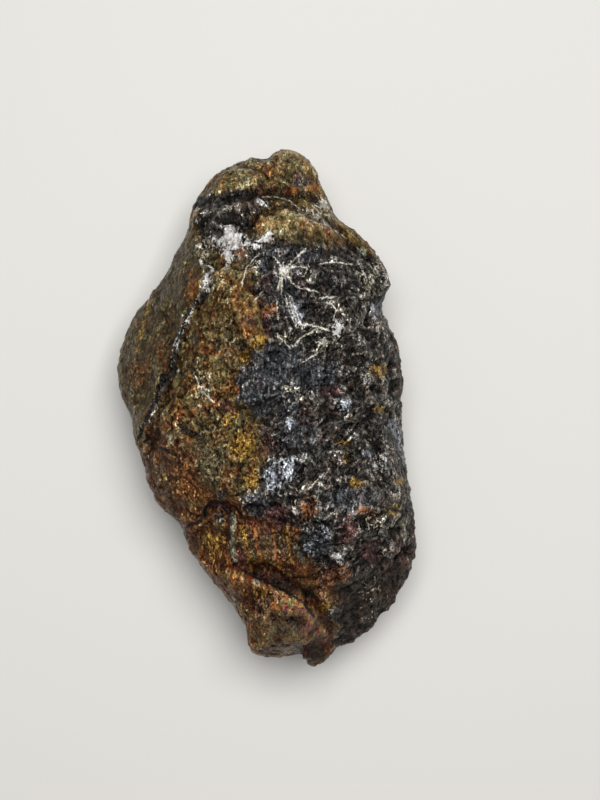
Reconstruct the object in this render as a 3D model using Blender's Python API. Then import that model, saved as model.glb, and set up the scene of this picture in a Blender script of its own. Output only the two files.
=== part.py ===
"""A lump of peacock ore, lying on the flat that it rests on.

Run it with: blender --background --python part.py

The lump is one solid. Its length runs along Y, with the narrow end at +Y, its width along X,
and its show face looks up, along +Z. The origin is the middle of its box, at the floor.
Lengths in the tables are in millimetres, and build() turns them into metres.
"""

import itertools
import math
from typing import NamedTuple

import bmesh
import bpy
import numpy as np
from mathutils import Euler, Vector

METRES_PER_MM = 0.001

# Driving dimensions
WIDTH = 82.0
LENGTH = 142.0
HEIGHT = 60.0
RIM_HEIGHT = 27.0  # of the widest line above the floor
CROWN_HEIGHT = 36.0  # of the show face above the rim, before its facets are cut
BELLY_DEPTH = 29.5  # of the underside below the rim; what reaches under the floor is the rest flat
CROWN_FULLNESS = 0.82  # below 1 the face is flatter and its sides steeper than an ellipsoid's
BELLY_FULLNESS = 0.86

# Grid of the block that the lump is made from: cells along X, Y and Z
BLOCK_CELLS = (27, 45, 16)

# The rim seen from above, anticlockwise from the right-hand side
OUTLINE = (
    (37.5, 4.0), (36.2, 15.5), (32.8, 23.2), (30.6, 28.8), (33.1, 34.5), (31.7, 39.6),
    (28.4, 44.8), (23.6, 48.9), (19.2, 52.2), (16.8, 57.0), (14.4, 61.2), (13.0, 63.6),
    (12.0, 67.0), (8.2, 70.4), (4.2, 71.0), (0.2, 68.6), (-3.6, 68.7), (-9.6, 66.8),
    (-14.8, 63.8), (-18.8, 58.8), (-21.1, 54.0), (-22.6, 48.2), (-25.8, 41.8), (-28.9, 35.8),
    (-34.9, 28.4), (-39.2, 21.0), (-41.0, 13.6), (-40.1, 4.8), (-36.6, -3.8), (-33.8, -12.0),
    (-31.9, -18.9), (-29.2, -25.8), (-23.4, -31.8), (-20.2, -39.2), (-14.9, -46.4),
    (-9.4, -53.6), (-6.6, -58.2), (-4.6, -60.6), (-4.0, -66.6), (2.0, -68.1), (9.6, -67.9),
    (10.9, -70.0), (13.6, -71.0), (17.2, -69.0), (19.6, -66.2), (24.6, -64.6), (30.8, -59.8),
    (36.6, -52.0), (40.2, -43.4), (41.0, -35.0), (40.2, -24.6), (38.6, -12.8), (37.3, -2.6),
)
LOOP_STEPS = 8  # points on the outline's curve from one of these to the next


class Facet(NamedTuple):
    """A broad flat face. tilt is its normal's angle from straight up, bearing is the way that it
    looks, anticlockwise from +X, and at is a point on it."""

    tilt: float
    bearing: float
    at: tuple


FACETS = (
    # show face
    Facet(5, 350, (9, -3, 58.5)),
    Facet(13, 188, (-11, -8, 57.5)),
    Facet(18, 65, (14, 31, 54.5)),
    Facet(21, 262, (6, -40, 53.0)),
    # shoulders
    Facet(48, 165, (-23, 18, 48.5)),
    Facet(41, 216, (-20, -25, 49.5)),
    Facet(57, 2, (34, 0, 45.5)),
    Facet(50, 320, (25, -43, 45.5)),
    Facet(35, 92, (-2, 56, 46.0)),
    Facet(46, 38, (23, 44, 43.0)),
    # flanks, from the rim inwards under the lump
    Facet(122, 178, (-40.4, 8, 26)),
    Facet(114, 6, (39.8, -20, 24)),
    Facet(126, 276, (5, -69.5, 24)),
    Facet(124, 88, (0, 70.0, 26)),
    Facet(132, 222, (-20.5, -39, 20)),
    Facet(126, 38, (27.5, 45, 23)),
    Facet(136, 142, (-27, 37.5, 21)),
    Facet(130, 316, (32, -58, 20)),
    # underside
    Facet(157, 150, (-10, 22, 2.4)),
    Facet(161, 332, (13, -28, 2.2)),
    Facet(154, 44, (13, 22, 3.0)),
    Facet(163, 246, (-7, -30, 2.4)),
)
FACET_SOFTNESS = 0.9  # how far a facet's edge is worn round
NEARLY_LEVEL = 0.02  # a spoke from the heart this nearly level with a facet never meets it


class Ledge(NamedTuple):
    """A scarp along a line on the show face. The ground to the left of the line stands rise
    higher at its lip, and falls back to level over reach. The foot is dug out by trough."""

    line: tuple
    rise: float
    reach: float
    trough: float


LEDGES = (
    # under the lip of the cap
    Ledge(
        ((19.5, 50.6), (12, 53.6), (5, 55.2), (-1, 55.8), (-6, 55.2), (-12, 53.2), (-19, 54)),
        1.5, 14, 1.5,
    ),
    # the golden bulge below the cap
    Ledge(((-3, 44), (-1, 49.5), (5, 52.4), (11, 51), (19, 46.5), (27, 40)), -2.0, 9, 1.0),
    # along the left seam, where the flank drops away
    Ledge(
        ((-19, 48), (-15.6, 41), (-15.6, 32), (-19, 25), (-23, 17), (-27, 8), (-29, 1), (-33, -8)),
        -2.2, 8, 1.6,
    ),
    # the hooked lip over the notch
    Ledge(((-7.6, -26.2), (-9.4, -24.4), (-12.6, -24.2), (-15.6, -26.4)), -3.4, 6, 3.4),
    Ledge(((-15.8, -30), (-18.6, -31.6), (-21, -32.4)), -1.4, 5, 1.0),
    # above the lobe at the lower end
    Ledge(((15.5, -58), (12.2, -52.4), (8, -48.6), (3, -46.4), (-2, -44.2), (-7, -42.8)), 2.6, 14, 2.4),
    # low steps on the right-hand side
    Ledge(((38, -24), (34, -23.4), (29, -25.2), (23, -27.4), (16, -28)), -1.6, 8, 0.8),
    Ledge(((28, 4), (23.6, -3), (19.6, -9), (13, -11.4)), 1.4, 7, 0.7),
    Ledge(((3, -3.6), (7.6, 1.6), (15, 5.2), (20.6, 12)), -1.1, 7, 0.5),
    # short scarps on the brown side
    Ledge(((-21, -6), (-16, -8.6), (-9, -9.4)), -1.2, 6, 0.6),
    Ledge(((-18, 12), (-12, 14.6), (-7, 20), (-5, 27)), -1.2, 7, 0.5),
)
LIP = 1.7  # half the width of a scarp
LIP_STEEPNESS = 3.0  # how much of a scarp's rise is made within its lip
FOOT_AT, FOOT_WIDTH = 1.6, 1.4  # of the trough at a scarp's foot, in lips
END_FADE = 2.0  # how far a scarp runs out past its line's ends, in lips
SHOW_FADE = 8.0  # the ledges fade out over this height above the rim


class Lump(NamedTuple):
    """A rounded swelling, or a hollow where rise is below 0, on what lies within radius of at."""

    at: tuple
    radius: float
    rise: float


LUMPS = (
    # show face
    Lump((9, 63, 38), 9.0, 1.3),
    Lump((-8, 62, 38), 9.0, 0.6),
    Lump((6, 47, 50), 9.0, 1.4),
    Lump((-6, 50, 50), 5.0, -1.6),
    Lump((-33, 12, 36), 15.0, 1.8),
    Lump((-32, -14, 36), 10.0, 1.2),
    Lump((-11.6, -29.4, 52), 4.4, 2.0),
    Lump((6, -58, 44), 12.0, 2.5),
    Lump((0, -42.5, 50), 4.0, -1.6),
    Lump((10, -46.5, 49), 5.5, -1.8),
    Lump((15, -68, 30), 6.0, 1.4),
    Lump((19, -43, 47), 7.0, 1.2),
    Lump((32, -33, 38), 9.0, 1.6),
    Lump((17, -3, 57), 6.0, -1.3),
    Lump((28, 33, 40), 10.0, 1.9),
    Lump((-2, 20, 56), 11.0, 0.9),
    Lump((12, 20, 56), 7.0, -0.9),
    # underside and sides
    Lump((-14, -36, 8), 12.0, 2.2),
    Lump((18, 36, 8), 13.0, 2.0),
    Lump((-26, 28, 12), 11.0, -2.0),
    Lump((30, -42, 12), 11.0, -1.8),
    Lump((36, 6, 22), 9.0, 1.6),
    Lump((2, -60, 12), 9.0, -1.6),
    Lump((-34, -4, 16), 9.0, 1.2),
)

LUMP_POWER = 1.5  # how softly a lump meets the ground round it
RIM_HOLD, RIM_BAND = 0.8, 14.0  # how much the rim is held to the outline, and over what height
REST_SNAP = 0.5  # a point this near the floor is set on it, so that the cut leaves no slivers
CUT_REACH = 0.01  # the cut takes a point this near the floor as lying on it


class Breakage(NamedTuple):
    """A broken surface: chips of about the given size, each flat but tilted its own way, up to
    rise high. crispness is how narrow the creases between them are, beside a chip's size."""

    size: float
    rise: float
    crispness: float


BREAKAGE = (
    Breakage(34.0, 2.4, 4.0),
    Breakage(15.0, 1.5, 15.0),
    Breakage(7.5, 0.5, 15.0),
)
CHIP_TILT = 1.6  # how steeply chips lean
CHIP_SCATTER = 0.85  # how much of its cell a chip's heart may lie in
GRID_TURN = np.array(Euler((0.64, 0.42, 0.55)).to_matrix())  # so that no row of chips shows
LEAST_SHARE = 1e-12  # keeps the weights' sum above 0
HASH_TURNS = np.array([[127.1, 269.5, 419.2], [311.7, 183.3, 371.9], [74.7, 246.1, 168.2]])
HASH_GAIN = 43758.5453  # large enough that only the sine's last digits tell
SALT_HEART, SALT_LEAN, SALT_LEVEL = 0.0, 17.0, 31.0  # one set of numbers for each use

ORE_COLOUR = (0.075, 0.052, 0.032, 1.0)
ORE_METALLIC = 0.55
ORE_ROUGHNESS = 0.48


def smooth_loop(points):
    """Points on a closed curve that runs through the given ones (Catmull-Rom)."""
    p1 = np.array(points, float)
    p0, p2, p3 = np.roll(p1, 1, 0), np.roll(p1, -1, 0), np.roll(p1, -2, 0)
    spans = []
    for t in np.arange(LOOP_STEPS) / LOOP_STEPS:
        spans.append(
            p1
            + 0.5 * t * (p2 - p0)
            + t**2 * (p0 - 2.5 * p1 + 2 * p2 - 0.5 * p3)
            + t**3 * (1.5 * (p1 - p2) + 0.5 * (p3 - p0))
        )
    return np.stack(spans, 1).reshape(-1, 2)


def rim_scale(angles):
    """How far the outline lies from the middle at each angle, as a share of the plain ellipse."""
    x, y = (smooth_loop(OUTLINE) / (WIDTH / 2, LENGTH / 2)).T
    at = np.arctan2(y, x)
    order = np.argsort(at)
    return np.interp(angles, at[order], np.hypot(x, y)[order], period=2 * math.pi)


def sliced_block():
    """A cube from -1 to 1, cut into a grid of cells by planes along each axis."""
    block = bmesh.new()
    bmesh.ops.create_cube(block, size=2.0)
    for axis, cells in enumerate(BLOCK_CELLS):
        across = Vector([float(axis == k) for k in range(3)])
        for cut in range(1, cells):
            everything = block.verts[:] + block.edges[:] + block.faces[:]
            place = across * (2.0 * cut / cells - 1.0)
            bmesh.ops.bisect_plane(block, geom=everything, plane_co=place, plane_no=across)
    return block


def on_ball(cube):
    """The cube's points moved onto the unit ball, with the cells kept nearly even."""
    squares = cube**2
    others = np.roll(squares, 1, 1), np.roll(squares, 2, 1)
    return cube * np.sqrt(1 - others[0] / 2 - others[1] / 2 + others[0] * others[1] / 3)


def body_form(ball):
    """The smooth body: the outline at rim height, swelling to the crown above and the belly below."""
    angle = np.arctan2(ball[:, 1], ball[:, 0])
    reach = np.hypot(ball[:, 0], ball[:, 1]) * rim_scale(angle)
    up = np.clip(ball[:, 2], 0, 1) ** CROWN_FULLNESS * CROWN_HEIGHT
    down = np.clip(-ball[:, 2], 0, 1) ** BELLY_FULLNESS * BELLY_DEPTH
    x = WIDTH / 2 * reach * np.cos(angle)
    y = LENGTH / 2 * reach * np.sin(angle)
    return np.stack([x, y, RIM_HEIGHT + up - down], 1)


def chiselled(points):
    """The points with what stands outside each facet drawn in to it, towards the lump's heart."""
    heart = np.array([0.0, 0.0, RIM_HEIGHT])
    spokes = points - heart
    lengths = np.linalg.norm(spokes, axis=1)
    reach = lengths
    for facet in FACETS:
        tilt, bearing = math.radians(facet.tilt), math.radians(facet.bearing)
        level = math.sin(tilt)
        normal = np.array([level * math.cos(bearing), level * math.sin(bearing), math.cos(tilt)])
        towards = np.maximum(spokes @ normal / lengths, NEARLY_LEVEL)
        to_facet = (facet.at - heart) @ normal / towards
        reach = -np.logaddexp(-reach / FACET_SOFTNESS, -to_facet / FACET_SOFTNESS) * FACET_SOFTNESS
    return heart + spokes * (reach / lengths)[:, None]


def beside_line(points, line):
    """For each point, seen from above: how far it lies to the left of a line of several spans
    (below 0 to the right), and how far it lies past the line's ends."""
    flat = points[:, :2]
    nearest = np.full(len(flat), np.inf)
    side, past = np.zeros(len(flat)), np.zeros(len(flat))
    last = len(line) - 2
    for k, (start, end) in enumerate(itertools.pairwise(np.array(line, float))):
        along = end - start
        length = math.hypot(*along)
        unit = along / length
        to_point = flat - start
        run = to_point @ unit
        before, after = np.maximum(0, -run), np.maximum(0, run - length)
        offset = unit[0] * to_point[:, 1] - unit[1] * to_point[:, 0]
        distance = np.hypot(before + after, offset)
        closer = distance < nearest
        nearest = np.where(closer, distance, nearest)
        side = np.where(closer, np.where(offset < 0, -distance, distance), side)
        past = np.where(closer, before * (k == 0) + after * (k == last), past)
    return side, past


def ledge_relief(points, show):
    """How much each point rises for the ledges; show is 1 on the show face and 0 under it."""
    rise = np.zeros(len(points))
    for ledge in LEDGES:
        side, past = beside_line(points, ledge.line)
        side = side * (1 if ledge.rise > 0 else -1)
        step = 1 / (1 + np.exp(-LIP_STEEPNESS * side / LIP))
        high = step * np.exp(-np.clip(side, 0, None) / ledge.reach)
        foot = np.exp(-(((side / LIP + FOOT_AT) / FOOT_WIDTH) ** 2))
        fade = np.exp(-((past / LIP / END_FADE) ** 2))
        rise += show * fade * (abs(ledge.rise) * high - ledge.trough * foot)
    return rise


def lump_relief(points):
    """How much each point rises for the lumps and hollows."""
    rise = np.zeros(len(points))
    for lump in LUMPS:
        share = np.linalg.norm(points - lump.at, axis=1) / lump.radius
        rise += lump.rise * np.clip(1 - share**2, 0, 1) ** LUMP_POWER
    return rise


def scattered(cells, salt):
    """Three numbers from 0 to 1 for each cell of a grid, always the same for the same cell."""
    return np.modf(np.abs(np.sin((cells + salt) @ HASH_TURNS) * HASH_GAIN))[0]


def broken_relief(points, breakage):
    """How much each point rises for a broken surface. Each cell of a grid holds one chip, whose
    heart lies near the cell's middle."""
    places = points @ GRID_TURN / breakage.size
    home = np.floor(places)
    margin = (1 - CHIP_SCATTER) / 2
    rise, share = np.zeros(len(points)), np.full(len(points), LEAST_SHARE)
    for step in itertools.product((-1, 0, 1), repeat=3):
        cells = home + step
        offset = places - cells - margin - CHIP_SCATTER * scattered(cells, SALT_HEART)
        distance = np.linalg.norm(offset, axis=1)
        fade = np.clip(1 - (distance / (1 + margin)) ** 2, 0, 1) ** 2
        weight = np.exp(-breakage.crispness * distance) * fade
        lean = 2 * scattered(cells, SALT_LEAN) - 1
        level = scattered(cells, SALT_LEVEL)[:, 0] - 0.5
        rise += weight * (CHIP_TILT * np.sum(offset * lean, axis=1) + level)
        share += weight
    return breakage.rise * rise / share


def coordinates(mesh):
    """The mesh's vertices as rows of X, Y and Z."""
    return np.array([v.co for v in mesh.verts])


def place(mesh, points):
    """Puts each vertex at its row of points."""
    for vertex, point in zip(mesh.verts, points):
        vertex.co = point
    mesh.normal_update()


def raise_by(mesh, rise):
    """Moves each vertex along its normal, but less to the side near the rim, so that the outline
    keeps its shape."""
    points = coordinates(mesh)
    moves = np.array([v.normal for v in mesh.verts]) * rise[:, None]
    held = RIM_HOLD * np.exp(-(((points[:, 2] - RIM_HEIGHT) / RIM_BAND) ** 2))
    moves[:, :2] *= (1 - held)[:, None]
    place(mesh, points + moves)


def cut_rest_flat(mesh):
    """Cuts off what reaches under the floor, and closes the cut with one flat face."""
    points = coordinates(mesh)
    points[np.abs(points[:, 2]) < REST_SNAP, 2] = 0
    place(mesh, points)
    everything = mesh.verts[:] + mesh.edges[:] + mesh.faces[:]
    bmesh.ops.bisect_plane(
        mesh, geom=everything, dist=CUT_REACH, plane_co=(0, 0, 0), plane_no=(0, 0, 1), clear_inner=True
    )
    bmesh.ops.holes_fill(mesh, edges=[e for e in mesh.edges if e.is_boundary])


def fit_to_size(mesh):
    """Centres the lump over the origin and makes its box exactly WIDTH by LENGTH by HEIGHT."""
    points = coordinates(mesh)
    low, high = points.min(0), points.max(0)
    middle = np.array([(low[0] + high[0]) / 2, (low[1] + high[1]) / 2, 0])
    place(mesh, (points - middle) * (WIDTH, LENGTH, HEIGHT) / (high - low))


def lump_mesh():
    """The lump's mesh, in millimetres."""
    mesh = sliced_block()
    place(mesh, chiselled(body_form(on_ball(coordinates(mesh)))))
    broad, *chips = BREAKAGE
    raise_by(mesh, broken_relief(coordinates(mesh), broad) + lump_relief(coordinates(mesh)))
    points = coordinates(mesh)
    show = np.clip((points[:, 2] - RIM_HEIGHT) / SHOW_FADE, 0, 1)
    place(mesh, points + np.outer(ledge_relief(points, show), (0, 0, 1)))
    raise_by(mesh, sum(broken_relief(coordinates(mesh), layer) for layer in chips))
    cut_rest_flat(mesh)
    fit_to_size(mesh)
    bmesh.ops.recalc_face_normals(mesh, faces=mesh.faces)
    return mesh


def ore_material():
    """The tarnished sulphide's finish."""
    material = bpy.data.materials.new("tarnished_ore")
    material.use_nodes = True
    shader = material.node_tree.nodes["Principled BSDF"]
    shader.inputs["Base Color"].default_value = ORE_COLOUR
    shader.inputs["Metallic"].default_value = ORE_METALLIC
    shader.inputs["Roughness"].default_value = ORE_ROUGHNESS
    return material


def clear_scene():
    """Removes what a new Blender file starts with."""
    for leftover in list(bpy.data.objects):
        bpy.data.objects.remove(leftover)


def build():
    """Makes the lump, in metres, in a collection of its own."""
    clear_scene()
    collection = bpy.data.collections.new("peacock_ore")
    bpy.context.scene.collection.children.link(collection)
    shape = lump_mesh()
    bmesh.ops.scale(shape, vec=[METRES_PER_MM] * 3, verts=shape.verts)
    data = bpy.data.meshes.new("ore_lump")
    shape.to_mesh(data)
    shape.free()
    data.materials.append(ore_material())
    lump = bpy.data.objects.new("ore_lump", data)
    collection.objects.link(lump)


build()
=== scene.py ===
"""The visual model of a lump of peacock ore: massive bornite and chalcopyrite with some calcite.

The lump lies on its small flat and the camera looks straight down on its show face. Its form is
made as the CAD's is, from the same outline, facets, ledges, lumps and chips, on a lattice some
twenty times finer. On it come the fine hackle, cracks and hollows that the CAD leaves out, and
one finish whose minerals, painted shade and painted glints are placed by marks. Lengths are in
millimetres until a mesh is made.
"""

import itertools
import logging
import math
from dataclasses import dataclass
from enum import Enum

import bpy
import numpy as np
from mathutils import Euler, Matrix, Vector


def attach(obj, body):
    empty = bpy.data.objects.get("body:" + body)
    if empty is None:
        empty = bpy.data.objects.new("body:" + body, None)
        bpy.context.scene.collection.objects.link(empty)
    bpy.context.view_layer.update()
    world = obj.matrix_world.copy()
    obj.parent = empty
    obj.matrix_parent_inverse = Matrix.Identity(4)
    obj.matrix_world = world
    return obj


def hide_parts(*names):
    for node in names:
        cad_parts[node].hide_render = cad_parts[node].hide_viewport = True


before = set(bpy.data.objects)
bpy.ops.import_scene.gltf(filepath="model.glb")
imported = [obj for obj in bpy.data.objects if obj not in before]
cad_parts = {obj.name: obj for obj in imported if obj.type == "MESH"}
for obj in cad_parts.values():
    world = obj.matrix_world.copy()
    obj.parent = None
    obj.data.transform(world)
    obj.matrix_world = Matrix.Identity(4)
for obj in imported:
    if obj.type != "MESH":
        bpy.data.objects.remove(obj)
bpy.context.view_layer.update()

LOG = logging.getLogger("peacock_ore")
METRES_PER_MM = 0.001
GRID_TURN = np.array(Euler((0.64, 0.42, 0.55)).to_matrix())  # so that no row of chips shows
# What turns a cell of a grid into random-looking numbers of its own
HASH_TURNS = np.array([[127.1, 269.5, 419.2], [311.7, 183.3, 371.9], [74.7, 246.1, 168.2]])
HASH_GAIN = 43758.5453
OCTAVE_SHIFT = 7.3
# The salts of a chip's place in its cell, of its lean and of its level
CHIP_PLACE, CHIP_LEAN, CHIP_LEVEL = 0.0, 17.0, 31.0
LEAST = 1e-12  # keeps what is divided by above 0
LINE_REACH = 4.0  # how far off a thin line is measured, in its half-widths

Route = tuple[tuple[float, float], ...]  # the points of a line, or an outline's corners
Stops = tuple[tuple[float, str], ...]  # the places and hex colours of a colour ramp
Weights = tuple[tuple[str, float], ...]  # the names of patterns and how much each counts
Feed = bpy.types.Node | bpy.types.NodeSocket | float  # what a node's input takes
Grain = dict[str, Feed]  # the patterns of a material and the vertices' numbers, by name


class Mineral(Enum):
    """What shows on the surface, painted shade and glints among them. Each is a number at every
    vertex, 0.5 at the mineral's edge.
    """

    GREY = "grey"  # dark metallic sulphide with black hollows
    STRIATED = "striated"  # the left flank's fine drawn-out grain
    RUSSET = "russet"  # the redder ground of the lower end, painted darker there as painted shade
    OLIVE = "olive"
    GOLD = "gold"  # fresh chalcopyrite
    RUST = "rust"
    CRIMSON = "crimson"
    PEACOCK = "peacock"  # many-coloured tarnish
    GREEN = "green"  # pale green crust, and a painted highlight on the lobe's rim
    SLATE = "slate"  # smoother, bluish dark faces
    GLINTING_FACE = "glinting_face"  # cleavage faces painted bluish-white where they glint: painted glints
    CREAM = "cream"  # thin crackle of calcite
    # black pits, and painted shade in recesses, under ledges, along the right-hand rim and over the
    # lower end
    CALCITE = "calcite"
    PITCH_AND_SHADE = "pitch_and_shade"  # black hollows and cracks


@dataclass(frozen=True)
class Facet:
    """A broad flat face: its normal's angle from straight up, its bearing and a point on it."""

    tilt: float
    bearing: float
    at: tuple[float, float, float]

    def normal(self) -> np.ndarray:
        """Finds the way that the facet looks.

        Returns:
            A direction, one long.
        """
        tilt, bearing = math.radians(self.tilt), math.radians(self.bearing)
        level = math.sin(tilt)
        return np.array([level * math.cos(bearing), level * math.sin(bearing), math.cos(tilt)])


@dataclass(frozen=True)
class Ledge:
    """A scarp along a line, with the trough that is dug out at its foot.

    The ground to the line's left stands higher by rise, or to its right where rise is below 0,
    and falls back to level over reach.
    """

    line: Route
    rise: float
    reach: float
    trough: float


@dataclass(frozen=True)
class Lump:
    """A rounded swelling, or a hollow where rise is below 0, on what lies within radius of at."""

    at: tuple[float, float, float]
    radius: float
    rise: float


@dataclass(frozen=True)
class Breakage:
    """A broken surface of tilted chips: their size, their rise and how narrow their creases are."""

    size: float
    rise: float
    crispness: float


@dataclass(frozen=True)
class Wander:
    """A smooth random change: its size, its salt, its octaves and its reach.

    The salt picks one set of numbers. Each further octave is half as large and half as strong.
    """

    size: float
    salt: float
    octaves: int = 1
    reach: float = 1.0

    def at(self, points: np.ndarray) -> np.ndarray:
        """Gives three smoothly varying numbers at each point.

        Args:
            points: rows of X, Y and Z.

        Returns:
            Three numbers from about -reach to reach in each row.
        """
        total = np.zeros((len(points), 3))
        for octave in range(self.octaves):
            places = points @ GRID_TURN / (self.size / 2**octave) + OCTAVE_SHIFT * octave
            home = np.floor(places)
            part = places - home
            part = part * part * (3 - 2 * part)
            for corner in itertools.product((0, 1), repeat=3):
                share = np.prod(np.where(corner, part, 1 - part), axis=1)
                value = 2 * scattered(home + corner, self.salt) - 1
                total += share[:, None] * value / 2**octave
        return self.reach * total


@dataclass(frozen=True)
class Strewn:
    """How a mineral is strewn: by which column of which wander, and from which mean amount.

    The amount wanders by swing to either side, and is less by off_grey on the grey sulphide.
    """

    mineral: Mineral
    patches: Wander
    column: int
    mean: float
    swing: float
    off_grey: float = 0.0


@dataclass(frozen=True)
class Spot:
    """A patch of a mineral on the photograph's frame: its middle and half-widths in pixels."""

    across: float
    down: float
    half_width: float
    half_height: float
    strength: float = 1.0

    def amount(self, pixels: np.ndarray) -> np.ndarray:
        """Returns its strength in the middle, half on the edge and 0 twice as far out."""
        offset = (pixels - (self.across, self.down)) / (self.half_width, self.half_height)
        return self.strength * np.clip(1 - np.linalg.norm(offset, axis=1) / 2, 0, 1)


@dataclass(frozen=True)
class Streak:
    """A line of a mineral on the photograph's frame, through pixels, with its half-width."""

    half_width: float
    line: Route
    strength: float = 1.0

    def amount(self, pixels: np.ndarray) -> np.ndarray:
        """Returns its strength along the line, half on the edge and 0 twice as far out."""
        away = np.hypot(*beside_line(pixels, self.line)) / self.half_width
        return self.strength * np.clip(1 - away / 2, 0, 1)


@dataclass(frozen=True)
class Zone:
    """A large area of a mineral: its corners on the photograph's frame, and its edge's softness."""

    corners: Route
    softness: float
    strength: float = 1.0

    def amount(self, pixels: np.ndarray) -> np.ndarray:
        """Finds how far inside the area each pixel lies.

        Args:
            pixels: rows of pixels across and down.

        Returns:
            Half its strength on the outline, rising to all of it inside and falling to 0
            outside, each over softness.
        """
        start = np.array(self.corners, float)
        inside = np.zeros(len(pixels), bool)
        nearest = np.full(len(pixels), np.inf)
        for (x0, y0), (x1, y1) in zip(start, np.roll(start, -1, 0)):
            along = np.array([x1 - x0, y1 - y0])
            to_point = pixels - (x0, y0)
            run = np.clip(to_point @ along / (along @ along), 0, 1)
            nearest = np.minimum(nearest, np.linalg.norm(to_point - run[:, None] * along, axis=1))
            crosses = (y0 > pixels[:, 1]) != (y1 > pixels[:, 1])
            if y0 != y1:
                meets = x0 + (pixels[:, 1] - y0) * (x1 - x0) / (y1 - y0)
                inside ^= crosses & (pixels[:, 0] < meets)
        depth = np.where(inside, nearest, -nearest)
        return self.strength * np.clip(0.5 + depth / (2 * self.softness), 0, 1)


# The rim seen from above, anticlockwise from the right-hand side
OUTLINE = (
    (37.5, 4.0), (36.2, 15.5), (32.8, 23.2), (30.6, 28.8), (33.1, 34.5), (31.7, 39.6),
    (28.4, 44.8), (23.6, 48.9), (19.2, 52.2), (16.8, 57.0), (14.4, 61.2), (13.0, 63.6),
    (12.0, 67.0), (8.2, 70.4), (4.2, 71.0), (0.2, 68.6), (-3.6, 68.7), (-9.6, 66.8),
    (-14.8, 63.8), (-18.8, 58.8), (-21.1, 54.0), (-22.6, 48.2), (-25.8, 41.8), (-28.9, 35.8),
    (-34.9, 28.4), (-39.2, 21.0), (-41.0, 13.6), (-40.1, 4.8), (-36.6, -3.8), (-33.8, -12.0),
    (-31.9, -18.9), (-29.2, -25.8), (-23.4, -31.8), (-20.2, -39.2), (-14.9, -46.4),
    (-9.4, -53.6), (-6.6, -58.2), (-4.6, -60.6), (-4.0, -66.6), (2.0, -68.1), (9.6, -67.9),
    (10.9, -70.0), (13.6, -71.0), (17.2, -69.0), (19.6, -66.2), (24.6, -64.6), (30.8, -59.8),
    (36.6, -52.0), (40.2, -43.4), (41.0, -35.0), (40.2, -24.6), (38.6, -12.8), (37.3, -2.6),
)

FACETS = (
    # the top
    Facet(5, 350, (9, -3, 58.5)),
    Facet(13, 188, (-11, -8, 57.5)),
    Facet(18, 65, (14, 31, 54.5)),
    Facet(21, 262, (6, -40, 53.0)),
    # the shoulders
    Facet(48, 165, (-23, 18, 48.5)),
    Facet(41, 216, (-20, -25, 49.5)),
    Facet(57, 2, (34, 0, 45.5)),
    Facet(50, 320, (25, -43, 45.5)),
    Facet(35, 92, (-2, 56, 46.0)),
    Facet(46, 38, (23, 44, 43.0)),
    # the flanks, from the rim inwards under the lump
    Facet(122, 178, (-40.4, 8, 26)),
    Facet(114, 6, (39.8, -20, 24)),
    Facet(126, 276, (5, -69.5, 24)),
    Facet(124, 88, (0, 70.0, 26)),
    Facet(132, 222, (-20.5, -39, 20)),
    Facet(126, 38, (27.5, 45, 23)),
    Facet(136, 142, (-27, 37.5, 21)),
    Facet(130, 316, (32, -58, 20)),
    # the underside
    Facet(157, 150, (-10, 22, 2.4)),
    Facet(161, 332, (13, -28, 2.2)),
    Facet(154, 44, (13, 22, 3.0)),
    Facet(163, 246, (-7, -30, 2.4)),
)

LEDGES = (
    # under the lip of the cap
    Ledge(
        ((19.5, 50.6), (12, 53.6), (5, 55.2), (-1, 55.8), (-6, 55.2), (-12, 53.2), (-19, 54)),
        1.5, 14, 1.5,
    ),
    # the golden bulge below the cap
    Ledge(((-3, 44), (-1, 49.5), (5, 52.4), (11, 51), (19, 46.5), (27, 40)), -2.0, 9, 1.0),
    # along the left seam, where the flank drops away
    Ledge(
        ((-19, 48), (-15.6, 41), (-15.6, 32), (-19, 25), (-23, 17), (-27, 8), (-29, 1), (-33, -8)),
        -2.2, 8, 1.6,
    ),
    # the hooked lip over the notch, dug less deep than the CAD's so that its shadow stays thin
    Ledge(((-7.6, -26.2), (-9.4, -24.4), (-12.6, -24.2), (-15.6, -26.4)), -3.4, 6, 2.2),
    Ledge(((-15.8, -30), (-18.6, -31.6), (-21, -32.4)), -1.4, 5, 1.0),
    # above the lobe at the lower end
    Ledge(
        ((15.5, -58), (12.2, -52.4), (8, -48.6), (3, -46.4), (-2, -44.2), (-7, -42.8)),
        2.6, 14, 2.4,
    ),
    # low steps on the right-hand side
    Ledge(((38, -24), (34, -23.4), (29, -25.2), (23, -27.4), (16, -28)), -1.6, 8, 0.8),
    Ledge(((28, 4), (23.6, -3), (19.6, -9), (13, -11.4)), 1.4, 7, 0.7),
    Ledge(((3, -3.6), (7.6, 1.6), (15, 5.2), (20.6, 12)), -1.1, 7, 0.5),
    # short scarps on the brown side
    Ledge(((-21, -6), (-16, -8.6), (-9, -9.4)), -1.2, 6, 0.6),
    Ledge(((-18, 12), (-12, 14.6), (-7, 20), (-5, 27)), -1.2, 7, 0.5),
)

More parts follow.
